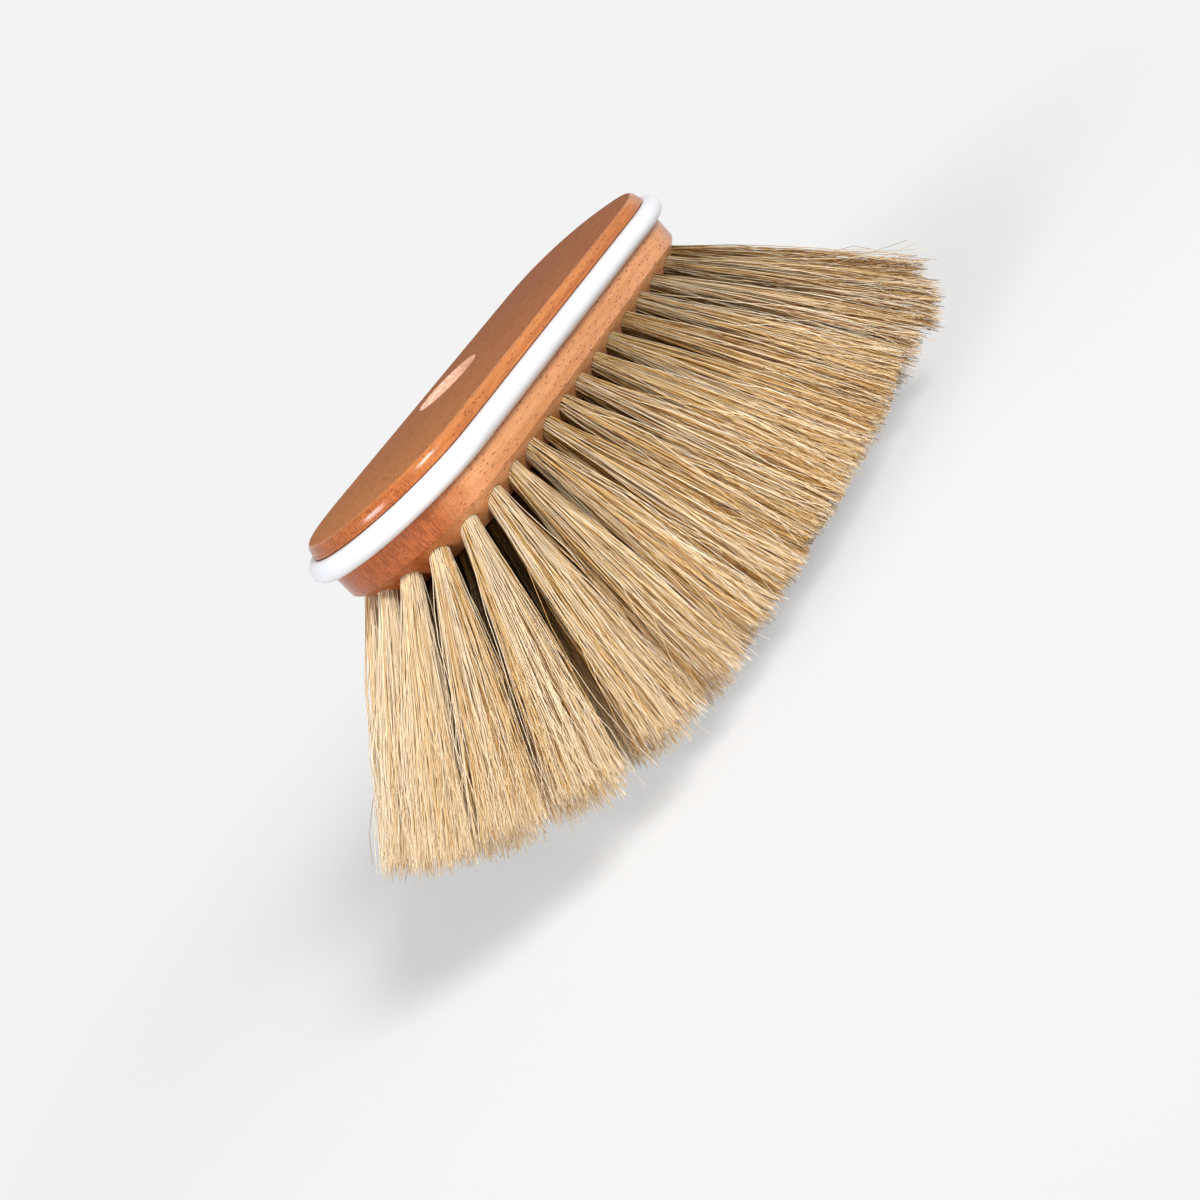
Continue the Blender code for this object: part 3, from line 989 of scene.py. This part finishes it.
@dataclass(frozen=True)
class TuftPlan:
    """Where every tuft stands, how it leans outwards and how long it is trimmed.

    Leans are given as the run along X or Y for each metre down.
    """

    block: Block
    socket: Socket
    outer_inset: float = 5.5 * MM
    inner_length: float = 97 * MM
    inner_bristles: int = 125
    pitch: float = 13.5 * MM
    tuft_side: float = 5 * MM
    drill_share: float = 0.7
    # Places along the block are in this unit, from about -1 to 1
    unit: float = 100 * MM
    end_lean: Point2 = (0.92, 0.48)
    ahead_lean: float = 0.389
    ahead_shift: float = -0.011
    near_lean: float = 0.585
    near_power: float = 1.1
    near_growth: float = 0.22
    far_lean: float = 0.55
    far_power: float = 1.5
    far_loss: float = 0.5
    middle_lean: float = 0.06
    trims: tuple[Point2, ...] = (
        (-1.1, 0.98), (-0.75, 1.01), (-0.5, 0.985), (-0.2, 0.965),
        (0.1, 0.975), (0.5, 0.975), (0.74, 1.035), (0.88, 0.98), (1.1, 0.94),
    )
    far_trim: float = 0.11
    far_trim_start: float = 0.25
    seed: int = 11

    @property
    def row_spacing(self) -> float:
        """Distance between the rings."""
        return (self.block.half_width - self.outer_inset) / 3

    @property
    def rings(self) -> tuple[Ring, Ring]:
        """The outer ring on the chamfer and the middle ring inside it."""
        return (
            Ring(
                "outer", self.outer_inset,
                tufts=36, slices=12, shift=0.5, length=99.5 * MM, bristles=290,
            ),
            Ring(
                "middle", self.outer_inset + self.row_spacing,
                tufts=30, slices=10, shift=0.0, length=98 * MM, bristles=230,
            ),
        )

    def lean(self, root: Vector) -> Vector:
        """Find the way that a tuft points.

        Args:
            root: Where it leaves the board.

        Returns:
            The unit vector along it, down and outwards.
        """
        along = root.x / self.unit
        across = abs(root.y) / (self.block.half_width - self.outer_inset)
        ends = self.end_lean[0 if along < 0 else 1]
        ahead = ends * along**3 + self.ahead_lean * along + self.ahead_shift
        if root.y < 0:
            aside = -self.near_lean * across**self.near_power * (1 + self.near_growth * along)
        else:
            aside = (self.far_lean + self.far_loss * min(along, 0) ** 3) * across**self.far_power
        aside -= self.middle_lean * (1 - min(across, 1))
        return Vector((ahead, aside, -1)).normalized()

    def trim(self, root: Vector) -> float:
        """Find how a tuft's length differs from its ring's, as the trimmed tips show.

        Args:
            root: Where it leaves the board.

        Returns:
            The share of the ring's length that it has.
        """
        along = root.x / self.unit
        share = self.trims[-1][1]
        for (start, low), (end, high) in zip(self.trims, self.trims[1:]):
            if start <= along < end:
                share = low + (high - low) * (along - start) / (end - start)
                break
        far = max(-along, 0) * max(root.y / self.block.half_width + self.far_trim_start, 0)
        return share - self.far_trim * min(far, 1)

    def tuft(self, where: Point2, inset: float, length: float) -> Tuft:
        """Set one tuft in the board.

        Args:
            where: A spot round the oval.
            inset: How far inside the wall it stands.
            length: Its length.

        Returns:
            The tuft.
        """
        on_chamfer = inset < self.block.board_step + self.block.chamfer
        drop = inset - self.block.board_step if on_chamfer else self.block.chamfer
        point = self.block.place(where, inset, self.block.wall_foot - drop)
        outward = Vector((math.cos(where[1]), math.sin(where[1]), 0))
        inner_inset = self.outer_inset + 2 * self.row_spacing
        slope = self.drill_share * max(1 - inset / inner_inset, 0)
        drilled = (Vector((0, 0, -1)) + outward * slope).normalized()
        rim = Vector((-math.sin(where[1]), math.cos(where[1]), 0))
        return Tuft(point, self.lean(point), rim, drilled, length * self.trim(point))

    def around(self, inset: float, count: int, shift: float, length: float) -> list[Tuft]:
        """Set a closed ring of tufts at even steps round the oval.

        Args:
            inset: How far inside the wall it runs.
            count: How many tufts it has.
            shift: How far round the first one stands, in steps.
            length: Their length.

        Returns:
            The tufts, in order.
        """
        step = self.block.perimeter(inset) / count
        spots = [self.block.spot(inset, (index + shift) * step) for index in range(count)]
        return [self.tuft(spot, inset, length) for spot in spots]

    def inner(self, side: Side) -> list[Tuft]:
        """Set the inner ring and the middle row on one side of the socket.

        Args:
            side: Which end of the block.

        Returns:
            Its tufts.
        """
        limit = self.socket.keep_out()[0 if side is Side.LEFT else 1]
        nearest = side.value * limit + self.tuft_side
        inset = self.outer_inset + 2 * self.row_spacing
        count = 2 * round(self.block.perimeter(inset) / self.pitch / 2)
        ring = self.around(inset, count, 0.5, self.inner_length)
        first = self.block.half_straight - self.pitch / 2
        spots = [
            (side.value * (first - index * self.pitch), 0)
            for index in range(int((first - nearest) / self.pitch) + 1)
        ]
        row = [self.tuft(spot, self.block.half_width, self.inner_length) for spot in spots]
        return [tuft for tuft in ring if side.value * tuft.root.x > nearest] + row

    def slices(self) -> list[Slice]:
        """Part all tufts as the frame's nodes do.

        Returns:
            The slices of the outer and the middle ring, and the two inner ones.
        """
        made = []
        for ring in self.rings:
            tufts = self.around(ring.inset, ring.tufts, ring.shift, ring.length)
            share = ring.tufts // ring.slices
            for index in range(ring.slices):
                part = tufts[index * share:(index + 1) * share]
                made.append(Slice(ring.name, f"{index + 1:02d}", part, ring.bristles))
        for side in Side:
            made.append(Slice("inner", side.name.lower(), self.inner(side), self.inner_bristles))
        return made


@dataclass(frozen=True)
class BristleBoard:
    """The lower board: a wall, a chamfer, the socket's end, and a hole for every tuft and its wire."""

    block: Block
    clamp: Clamp
    socket: Socket
    dowels: Dowels
    plan: TuftPlan
    hole_radius: float = 3.75 * MM
    hole_depth: float = 8 * MM
    hole_overrun: float = 6 * MM
    hole_sides: int = 28
    wire_hole_radius: float = 1.4 * MM
    wire_hole_overrun: float = 3 * MM
    wire_hole_sides: int = 10
    ease: float = 0.5 * MM
    ease_bulge: Point2 = (0.3, 0.2)

    def profile(self) -> list[Point2]:
        """Give the board's section.

        Returns:
            Insets and heights, from the seam round to the underside.
        """
        step, foot, low = self.block.board_step, self.block.wall_foot, self.block.underside
        edge = step + self.block.chamfer
        cut = self.ease * math.sqrt(0.5)
        in_bulge, up_bulge = [share * cut for share in self.ease_bulge]
        below = [
            (step, foot + self.ease), (step + in_bulge, foot + up_bulge), (step + cut, foot - cut),
            (edge - cut, low + cut), (edge, low + up_bulge), (edge + self.ease, low),
        ]
        return self.clamp.slot(-1)[::-1] + self.clamp.seat(-1)[::-1] + below

    def build(self, finishes: Finishes) -> None:
        """Build the bristle board.

        Args:
            finishes: The brush's materials.
        """
        raw = finishes.raw_beech
        board = add_object("tuft_board", self.block.loft(self.profile()), finishes.board_beech)
        carve(board, self.socket.drill(raw))
        carve(board, self.dowels.drill(raw))
        tufts = [tuft for part in self.plan.slices() for tuft in part.tufts]
        holes = [
            (tuft.root - tuft.way * self.hole_depth, tuft.root + tuft.way * self.hole_overrun)
            for tuft in tufts
        ]
        carve(board, add_drill("tuft_drill", holes, self.hole_radius, self.hole_sides, raw))
        top = self.block.seam + self.wire_hole_overrun
        wires = [
            (tuft.root, tuft.root - tuft.drilled * ((top - tuft.root.z) / -tuft.drilled.z))
            for tuft in tufts
        ]
        carve(board, add_drill("wire_drill", wires, self.wire_hole_radius, self.wire_hole_sides, raw))
        smooth(board)
        settle(board, "board_wood", "bristle_board")


# Tufts


@dataclass(frozen=True)
class TuftTree:
    """The node tree that grows every bristle of a slice from one point for each tuft."""

    name: str = "drawn_tufts"
    inputs: tuple[tuple[str, str], ...] = (
        ("Tufts", "Geometry"), ("Bristles", "Int"), ("Rings", "Int"), ("Hole radius", "Float"),
        ("Root depth", "Float"), ("Thickness", "Float"), ("Flare along rim", "Float"),
        ("Flare outwards", "Float"), ("Stray", "Float"), ("Bow", "Float"), ("Crinkle", "Float"),
        ("Half width", "Float"), ("Seed", "Int"), ("Fibre", "Material"),
    )
    vectors: tuple[str, ...] = ("way", "rim", "beside", "beyond", "stray", "bow", "root")
    # A power that makes few hairs odd, and how much more these stray, crinkle and bend
    rarity: float = 4.5
    wild_growth: float = 2.6
    wild_least: float = 0.65
    bend_growth: float = 0.5
    bend_least: float = 0.8
    cut: Point2 = (0.96, 1.005)
    flare_power: float = 1.15
    stray_power: float = 1.5
    # Crinkles in a hair's length, and how far apart two hairs' crinkles are drawn
    waves: float = 3.0
    wave_parting: float = 137.0
    sides: int = 3
    taper: Span = (0.3, 1.0, 1.0, 0.6)
    floor_gap: float = 0.3 * MM

    def build(self) -> Tree:
        """Build the tree.

        Returns:
            The node group, with one named input for each size.
        """
        tree = bpy.data.node_groups.new(self.name, "GeometryNodeTree")
        for name, kind in self.inputs:
            tree.interface.new_socket(name=name, in_out="INPUT", socket_type=f"NodeSocket{kind}")
        tree.interface.new_socket(name="Brush", in_out="OUTPUT", socket_type="NodeSocketGeometry")
        given = add_node(tree, "NodeGroupInput", out=None)
        hairs = self._hairs(tree, given, self._roots(tree, given))
        radius = add_node(tree, MATH, (given["Thickness"], 0.5), operation="MULTIPLY")
        section = {"Resolution": self.sides, "Radius": radius}
        ring = add_node(tree, "GeometryNodeCurvePrimitiveCircle", section)
        taper = add_node(tree, RANGE, (add_node(tree, "GeometryNodeSplineParameter"), *self.taper))
        tubes = {"Curve": hairs, "Profile Curve": ring, "Scale": taper, "Fill Caps": True}
        brush = add_node(tree, "GeometryNodeCurveToMesh", tubes)
        brush = add_node(tree, "GeometryNodeSetShadeSmooth", (brush,))
        brush = add_node(tree, "GeometryNodeRealizeInstances", (brush,))
        fibre = {"Geometry": brush, "Material": given["Fibre"]}
        brush = add_node(tree, "GeometryNodeSetMaterial", fibre)
        add_node(tree, "NodeGroupOutput", {"Brush": brush}, None)
        return tree

    def _kind(self, name: str) -> str:
        """Blender's word for what one of the attributes holds."""
        return "FLOAT_VECTOR" if name in self.vectors else "FLOAT"

    def _read(self, tree: Tree, *names: str) -> list[Output]:
        """Read some of the attributes.

        Args:
            tree: The tree.
            *names: The attributes' names.

        Returns:
            One socket for each.
        """
        kind = "GeometryNodeInputNamedAttribute"
        return [add_node(tree, kind, {"Name": name}, data_type=self._kind(name)) for name in names]

    def _store(self, tree: Tree, points: Output, values: dict[str, Output]) -> Output:
        """Store attributes on points.

        Args:
            tree: The tree.
            points: The points.
            values: What each attribute holds.

        Returns:
            The points with their attributes.
        """
        for name, value in values.items():
            points = add_node(
                tree, "GeometryNodeStoreNamedAttribute", {"Geometry": points, "Name": name, "Value": value},
                data_type=self._kind(name), domain="POINT",
            )
        return points

    @staticmethod
    def _sideways(tree: Tree, way: Output, vector: Output) -> Output:
        """Take out what a vector has along the tuft, so that strays end at the trimmed tips.

        Args:
            tree: The tree.
            way: The tuft's unit vector.
            vector: The vector.

        Returns:
            What is left of it, square to the tuft.
        """
        share = add_node(tree, VECTOR, (vector, way), "Value", operation="DOT_PRODUCT")
        ahead = add_node(tree, VECTOR, {0: way, "Scale": share}, operation="SCALE")
        return add_node(tree, VECTOR, (vector, ahead), operation="SUBTRACT")

    def _roots(self, tree: Tree, given: Outputs) -> Output:
        """Spread each tuft's bristles over its hole.

        Args:
            tree: The tree.
            given: The group's input sockets.

        Returns:
            One point for each bristle, with its own attributes.
        """
        way, rim, phase, shade = self._read(tree, "way", "rim", "phase", "shade")
        copied = {"Geometry": given["Tufts"], "Amount": given["Bristles"]}
        copies = add_node(tree, "GeometryNodeDuplicateElements", copied, None, domain="POINT")
        number = copies["Duplicate Index"]
        half = add_node(tree, MATH, (number, 0.5), operation="ADD")
        part = add_node(tree, MATH, (half, given["Bristles"]), operation="DIVIDE")
        radius = add_node(tree, MATH, (part,), operation="SQRT")
        angle = add_node(tree, MATH, (number, GOLDEN_ANGLE, phase), operation="MULTIPLY_ADD")
        cross = add_node(tree, VECTOR, (rim, way), operation="CROSS_PRODUCT")
        outward = add_node(tree, VECTOR, (cross,), operation="NORMALIZE")
        around = add_node(tree, VECTOR, (way, outward), operation="CROSS_PRODUCT")
        spread = []
        for axis, wave in ((around, "COSINE"), (outward, "SINE")):
            turned = add_node(tree, MATH, (angle,), operation=wave)
            amount = add_node(tree, MATH, (turned, radius), operation="MULTIPLY")
            spread.append(add_node(tree, VECTOR, {0: axis, "Scale": amount}, operation="SCALE"))
        seeds = [add_node(tree, MATH, (given["Seed"], step), operation="ADD") for step in (1, 2, 3, 4)]
        both_ways = {"Min": (-1, -1, -1), "Max": (1, 1, 1)}
        drift, bow = [
            add_node(tree, DRAW, {**both_ways, "Seed": seed}, data_type="FLOAT_VECTOR")
            for seed in (given["Seed"], seeds[3])
        ]
        oddness, tone, trim = [
            add_node(tree, DRAW, {"Seed": seed}, 1, data_type="FLOAT") for seed in seeds[:3]
        ]
        rare = add_node(tree, MATH, (oddness, self.rarity), operation="POWER")
        wild, bend = [
            add_node(tree, MATH, (rare, growth, least), operation="MULTIPLY_ADD")
            for growth, least in (
                (self.wild_growth, self.wild_least), (self.bend_growth, self.bend_least),
            )
        ]
        amount = add_node(tree, MATH, (wild, given["Stray"]), operation="MULTIPLY")
        across = self._sideways(tree, way, drift)
        # The tint's power is the tuft's "shade": painted light and shade along X, and random tone
        return self._store(tree, copies["Geometry"], {
            "beside": spread[0],
            "beyond": spread[1],
            "stray": add_node(tree, VECTOR, {0: across, "Scale": amount}, operation="SCALE"),
            "bow": add_node(tree, VECTOR, {0: bow, "Scale": bend}, operation="SCALE"),
            "root": add_node(tree, "GeometryNodeInputPosition"),
            "tint": add_node(tree, MATH, (tone, shade), operation="POWER"),
            "cut": add_node(tree, RANGE, (trim, 0.0, 1.0, *self.cut)),
            "wild": wild,
        })

    def _hairs(self, tree: Tree, given: Outputs, roots: Output) -> Output:
        """Grow a curve from each root: along the tuft, flaring, straying and slightly crinkled.

        Args:
            tree: The tree.
            given: The group's input sockets.
            roots: One point for each bristle.

        Returns:
            The curves.
        """
        line = add_node(tree, "GeometryNodeCurvePrimitiveLine")
        line = add_node(tree, "GeometryNodeResampleCurve", {"Curve": line, "Count": given["Rings"]})
        lines = add_node(tree, "GeometryNodeInstanceOnPoints", {"Points": roots, "Instance": line})
        curves = add_node(tree, "GeometryNodeRealizeInstances", (lines,))
        way, beside, beyond, stray, bow, root = self._read(
            tree, "way", "beside", "beyond", "stray", "bow", "root"
        )
        reach, cut, tint, phase, wild = self._read(tree, "reach", "cut", "tint", "phase", "wild")
        share = add_node(tree, "GeometryNodeSplineParameter")
        length = add_node(tree, MATH, (reach, cut), operation="MULTIPLY")
        whole = add_node(tree, MATH, (length, given["Root depth"]), operation="ADD")
        run = add_node(tree, MATH, (share, whole), operation="MULTIPLY")
        ahead = add_node(tree, MATH, (run, given["Root depth"]), operation="SUBTRACT")
        free = add_node(tree, MATH, (ahead, 0.0), operation="MAXIMUM")
        part = add_node(tree, MATH, (free, reach), operation="DIVIDE")
        flared, loose = [
            add_node(tree, MATH, (part, power), operation="POWER")
            for power in (self.flare_power, self.stray_power)
        ]
        spreads = [
            add_node(tree, MATH, (flared, given[flare], 1.0), operation="MULTIPLY_ADD")
            for flare in ("Flare along rim", "Flare outwards")
        ]
        left = add_node(tree, MATH, (part, 1.0), operation="SUBTRACT")
        arc = add_node(tree, MATH, (part, left), operation="MULTIPLY")
        wild_wave = add_node(tree, MATH, (wild, given["Crinkle"]), operation="MULTIPLY")
        wide, high, sag, adrift, curl, x, y = [
            add_node(tree, MATH, pair, operation="MULTIPLY")
            for pair in (
                (spreads[0], given["Hole radius"]), (spreads[1], given["Hole radius"]),
                (arc, given["Bow"]), (loose, reach), (part, wild_wave),
                (share, self.waves), (tint, self.wave_parting),
            )
        ]
        place = add_node(tree, COMBINE, (x, y, phase))
        wave = add_node(tree, NOISE, {"Vector": place, "Scale": 1.0, "Detail": 1.0}, "Color")
        centred = add_node(tree, VECTOR, (wave, (0.5, 0.5, 0.5)), operation="SUBTRACT")
        crinkle = self._sideways(tree, way, centred)
        spot = root
        for vector, amount in (
            (way, ahead), (beside, wide), (beyond, high), (stray, adrift), (bow, sag), (crinkle, curl),
        ):
            moved = add_node(tree, VECTOR, {0: vector, "Scale": amount}, operation="SCALE")
            spot = add_node(tree, VECTOR, (spot, moved), operation="ADD")
        x, y, z = add_node(tree, SPLIT, (spot,), None)
        above = add_node(tree, MATH, (z, self.floor_gap), operation="MAXIMUM")
        near = add_node(tree, MATH, (given["Half width"], -1.0), operation="MULTIPLY")
        inside = add_node(tree, "ShaderNodeClamp", (y, near, given["Half width"]))
        rest = add_node(tree, COMBINE, (x, inside, above))
        laid = add_node(tree, "GeometryNodeSetPosition", {"Geometry": curves, "Position": rest})
        return self._store(tree, laid, {"along": share})


@dataclass(frozen=True)
class Tufts:
    """All bristles of the brush, in one piece for each slice of tufts."""

    plan: TuftPlan
    hole_radius: float = 3.45 * MM
    root_depth: float = 2.5 * MM
    # Real hairs are finer and there are more of them; these are as thick as they need to be to show
    thickness: float = 0.33 * MM
    flare_along: float = 2.7
    flare_out: float = 1.0
    stray: float = 0.03
    bow: float = 12 * MM
    crinkle: float = 9 * MM
    half_width: float = 92 * MM
    rings: int = 9
    first_seed: int = 100
    seed_step: int = 10
    wobble: float = 0.009
    reach_range: Point2 = (0.985, 1.005)
    # Powers on the hairs' tint from the -X end to the +X end: paler at -X and deeper at +X as painted light
    # and shade; shade_range adds each tuft's own random tone
    painted_lit_end_power: float = 0.28
    painted_shaded_end_power: float = 1.9
    shade_range: Point2 = (0.85, 1.18)
    # Painted root shade: the outer row's grows from least at the -X end to most a little past the middle;
    # the middle and inner rows get it all
    painted_root_shade_start: float = -0.4
    painted_root_shade_most: float = 0.5
    attributes: tuple[tuple[str, str], ...] = (
        ("way", "FLOAT_VECTOR"), ("rim", "FLOAT_VECTOR"), ("reach", "FLOAT"), ("phase", "FLOAT"),
        ("shade", "FLOAT"), ("row", "FLOAT"),
    )
    # What only the tree needs
    spare: tuple[str, ...] = (
        "way", "rim", "reach", "phase", "shade", "beside", "beyond", "stray", "bow", "root", "cut", "wild",
    )

    def _points(self, name: str, part: Slice, draw: random.Random) -> Object:
        """Make the mesh of one point for each tuft that the tree grows from.

        Args:
            name: The piece's name.
            part: The slice.
            draw: The seeded source of small differences between tufts.

        Returns:
            The object.
        """
        mesh = bpy.data.meshes.new(name)
        mesh.from_pydata([tuft.root for tuft in part.tufts], [], [])
        for key, kind in self.attributes:
            mesh.attributes.new(key, kind, "POINT")
        way, rim, reach, phase, shade, row = [mesh.attributes[key].data for key, _ in self.attributes]
        for index, tuft in enumerate(part.tufts):
            place = tuft.root.x / self.plan.block.length
            nudge = Vector([draw.gauss(0, self.wobble) for _ in range(3)])
            way[index].vector = (tuft.way + nudge).normalized()
            rim[index].vector = tuft.rim
            reach[index].value = tuft.length * draw.uniform(*self.reach_range)
            phase[index].value = draw.uniform(0, 2 * math.pi)
            painted_light_power = self.painted_lit_end_power + (self.painted_shaded_end_power - self.painted_lit_end_power) * (place + 0.5)
            shade[index].value = painted_light_power * draw.uniform(*self.shade_range)
            # The "row" attribute holds how much painted shade the roots get
            root_shade_amount = min(max(place - self.painted_root_shade_start, 0), self.painted_root_shade_most)
            row[index].value = root_shade_amount if part.row == "outer" else 1.0
        thing = bpy.data.objects.new(name, mesh)
        bpy.context.scene.collection.objects.link(thing)
        return thing

    def build(self, finishes: Finishes) -> None:
        """Build every slice of bristles.

        Args:
            finishes: The brush's materials.
        """
        tree = TuftTree().build()
        names = {item.name: item.identifier for item in tree.interface.items_tree if item.in_out == "INPUT"}
        draw = random.Random(self.plan.seed)
        for number, part in enumerate(self.plan.slices()):
            piece = self._points(f"{part.row}_bristles_{part.label}", part, draw)
            grower = piece.modifiers.new("bristles", "NODES")
            grower.node_group = tree
            values = {
                "Bristles": part.bristles, "Rings": self.rings, "Hole radius": self.hole_radius,
                "Root depth": self.root_depth, "Thickness": self.thickness,
                "Flare along rim": self.flare_along, "Flare outwards": self.flare_out,
                "Stray": self.stray, "Bow": self.bow, "Crinkle": self.crinkle,
                "Half width": self.half_width, "Seed": self.first_seed + self.seed_step * number,
                "Fibre": finishes.bristle,
            }
            for key, value in values.items():
                grower[names[key]] = value
            bake(piece)
            for spare in self.spare:
                piece.data.attributes.remove(piece.data.attributes[spare])
            settle(piece, "bristle", f"{part.row}_tufts_{part.label}")


# Studio


@dataclass(frozen=True)
class Lamp:
    """One soft square lamp: its place, its side, its power in watts and its colour."""

    name: str
    place: Point3
    size: float
    power: float
    tone: str


@dataclass(frozen=True)
class Studio:
    """A pale seamless floor, soft lamps and the camera."""

    backdrop: str = "#F3F3F3"
    floor_tones: Point2 = (0.5, 1.04)
    floor_radius: float = 2.2
    floor_sides: int = 96
    # How far from the brush the floor fades into the backdrop, and its glow before and after
    fade: Span = (0.2, 0.5, 0.5, 1.0)
    ambient: float = 0.12
    lens: float = 60.0
    sensor: float = 36.0
    clip: Point2 = (0.01, 50.0)
    eye: Point3 = (-0.5066, -0.4830, 0.2103)
    forward: Point3 = (0.6746, 0.6973, -0.2422)
    right: Point3 = (0.3998, -0.6209, -0.6743)
    aim: Point3 = (0.0, 0.0, 0.075)
    lamps: tuple[Lamp, ...] = (
        Lamp("key", (-0.4, -3.3, 2.3), 1.35, 158.0, "#FFFFFF"),
        Lamp("left", (-3.9, -0.4, 0.9), 1.5, 145.0, "#F8FAFF"),
    )

    def _seen(self, tree: Tree) -> Output:
        """Say whether a ray comes from the camera, a gloss or a clear piece.

        Args:
            tree: The tree that asks.

        Returns:
            1 for such a ray, or 0.
        """
        path = add_node(tree, "ShaderNodeLightPath", out=None)
        first = add_node(tree, MATH, (path["Is Camera Ray"], path["Is Glossy Ray"]), operation="MAXIMUM")
        return add_node(tree, MATH, (first, path["Is Transmission Ray"]), operation="MAXIMUM")

    def _world(self) -> None:
        """Make the world: the backdrop's colour where it is seen, and an even soft light."""
        world = bpy.data.worlds.new("studio")
        bpy.context.scene.world = world
        world.use_nodes = True
        tree = world.node_tree
        tree.nodes.clear()
        soft, shown = [
            add_node(tree, "ShaderNodeBackground", (colour, strength))
            for colour, strength in (((1, 1, 1, 1), self.ambient), (linear(self.backdrop), 1.0))
        ]
        mixed = add_node(tree, "ShaderNodeMixShader", (self._seen(tree), soft, shown))
        add_node(tree, "ShaderNodeOutputWorld", {"Surface": mixed}, None)

    def _floor(self) -> None:
        """Make the floor, which fades into the backdrop away from the brush."""
        shape = bmesh.new()
        bmesh.ops.create_circle(shape, cap_ends=True, segments=self.floor_sides, radius=self.floor_radius)
        material, tree, shader = new_material("floor_painted_matt")
        tree.nodes.remove(shader)
        spot = add_node(tree, COORDS, out="Object")
        distance = add_node(tree, VECTOR, (spot,), "Value", operation="LENGTH")
        fade = add_node(tree, RANGE, (distance, *self.fade), interpolation_type="SMOOTHSTEP")
        seen = self._seen(tree)
        share = add_node(tree, MATH, (fade, seen), operation="MULTIPLY")
        tone = add_node(tree, RANGE, (seen, 0.0, 1.0, *self.floor_tones))
        matt = add_node(tree, "ShaderNodeBsdfDiffuse", (tone,))
        glow = add_node(tree, "ShaderNodeEmission", (linear(self.backdrop), 1.0))
        mixed = add_node(tree, "ShaderNodeMixShader", (share, matt, glow))
        feed(tree.nodes["Material Output"], {"Surface": mixed})
        floor = add_object("floor", shape, material)

    def _lamps(self) -> None:
        """Hang the soft lamps, each turned to the brush."""
        for lamp in self.lamps:
            light = bpy.data.lights.new(lamp.name, "AREA")
            light.color = linear(lamp.tone)[:3]
            light.size = lamp.size
            light.energy = lamp.power
            thing = bpy.data.objects.new(lamp.name, light)
            thing.location = lamp.place
            thing.rotation_euler = (Vector(self.aim) - thing.location).to_track_quat("-Z", "Y").to_euler()
            bpy.context.scene.collection.objects.link(thing)

    def _camera(self) -> None:
        """Set the camera at the photograph's place and angle."""
        data = bpy.data.cameras.new("camera")
        data.lens = self.lens
        data.sensor_width = self.sensor
        data.dof.use_dof = False
        data.clip_start, data.clip_end = self.clip
        camera = bpy.data.objects.new("camera", data)
        back = -Vector(self.forward).normalized()
        right = Vector(self.right).normalized()
        turn = Matrix((right, back.cross(right), back)).transposed().to_4x4()
        camera.matrix_world = Matrix.Translation(self.eye) @ turn
        bpy.context.scene.collection.objects.link(camera)
        bpy.context.scene.camera = camera

    def build(self) -> None:
        """Set up the whole studio."""
        bpy.context.scene.view_settings.view_transform = "Standard"
        self._world()
        self._floor()
        self._lamps()
        self._camera()
        LOG.info("studio: floor, %d lamps and camera", len(self.lamps))


def main() -> None:
    """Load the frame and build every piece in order."""
    logging.basicConfig(level=logging.INFO, format="%(message)s")
    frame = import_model()
    finishes = Finishes.build()
    block = Block()
    socket = Socket(block)
    clamp = Clamp(block)
    dowels = Dowels(block)
    plan = TuftPlan(block, socket)
    Studio().build()
    Cover(block, clamp, socket, dowels).build(finishes)
    BristleBoard(block, clamp, socket, dowels, plan).build(finishes)
    clamp.build_strip(finishes.vinyl)
    dress(frame["nodes"], dowels.names, finishes.dowel_beech)
    dress(frame["nodes"], DRAWING_WIRES, finishes.steel)
    Tufts(plan).build(finishes)


if __name__ == "__main__":
    main()
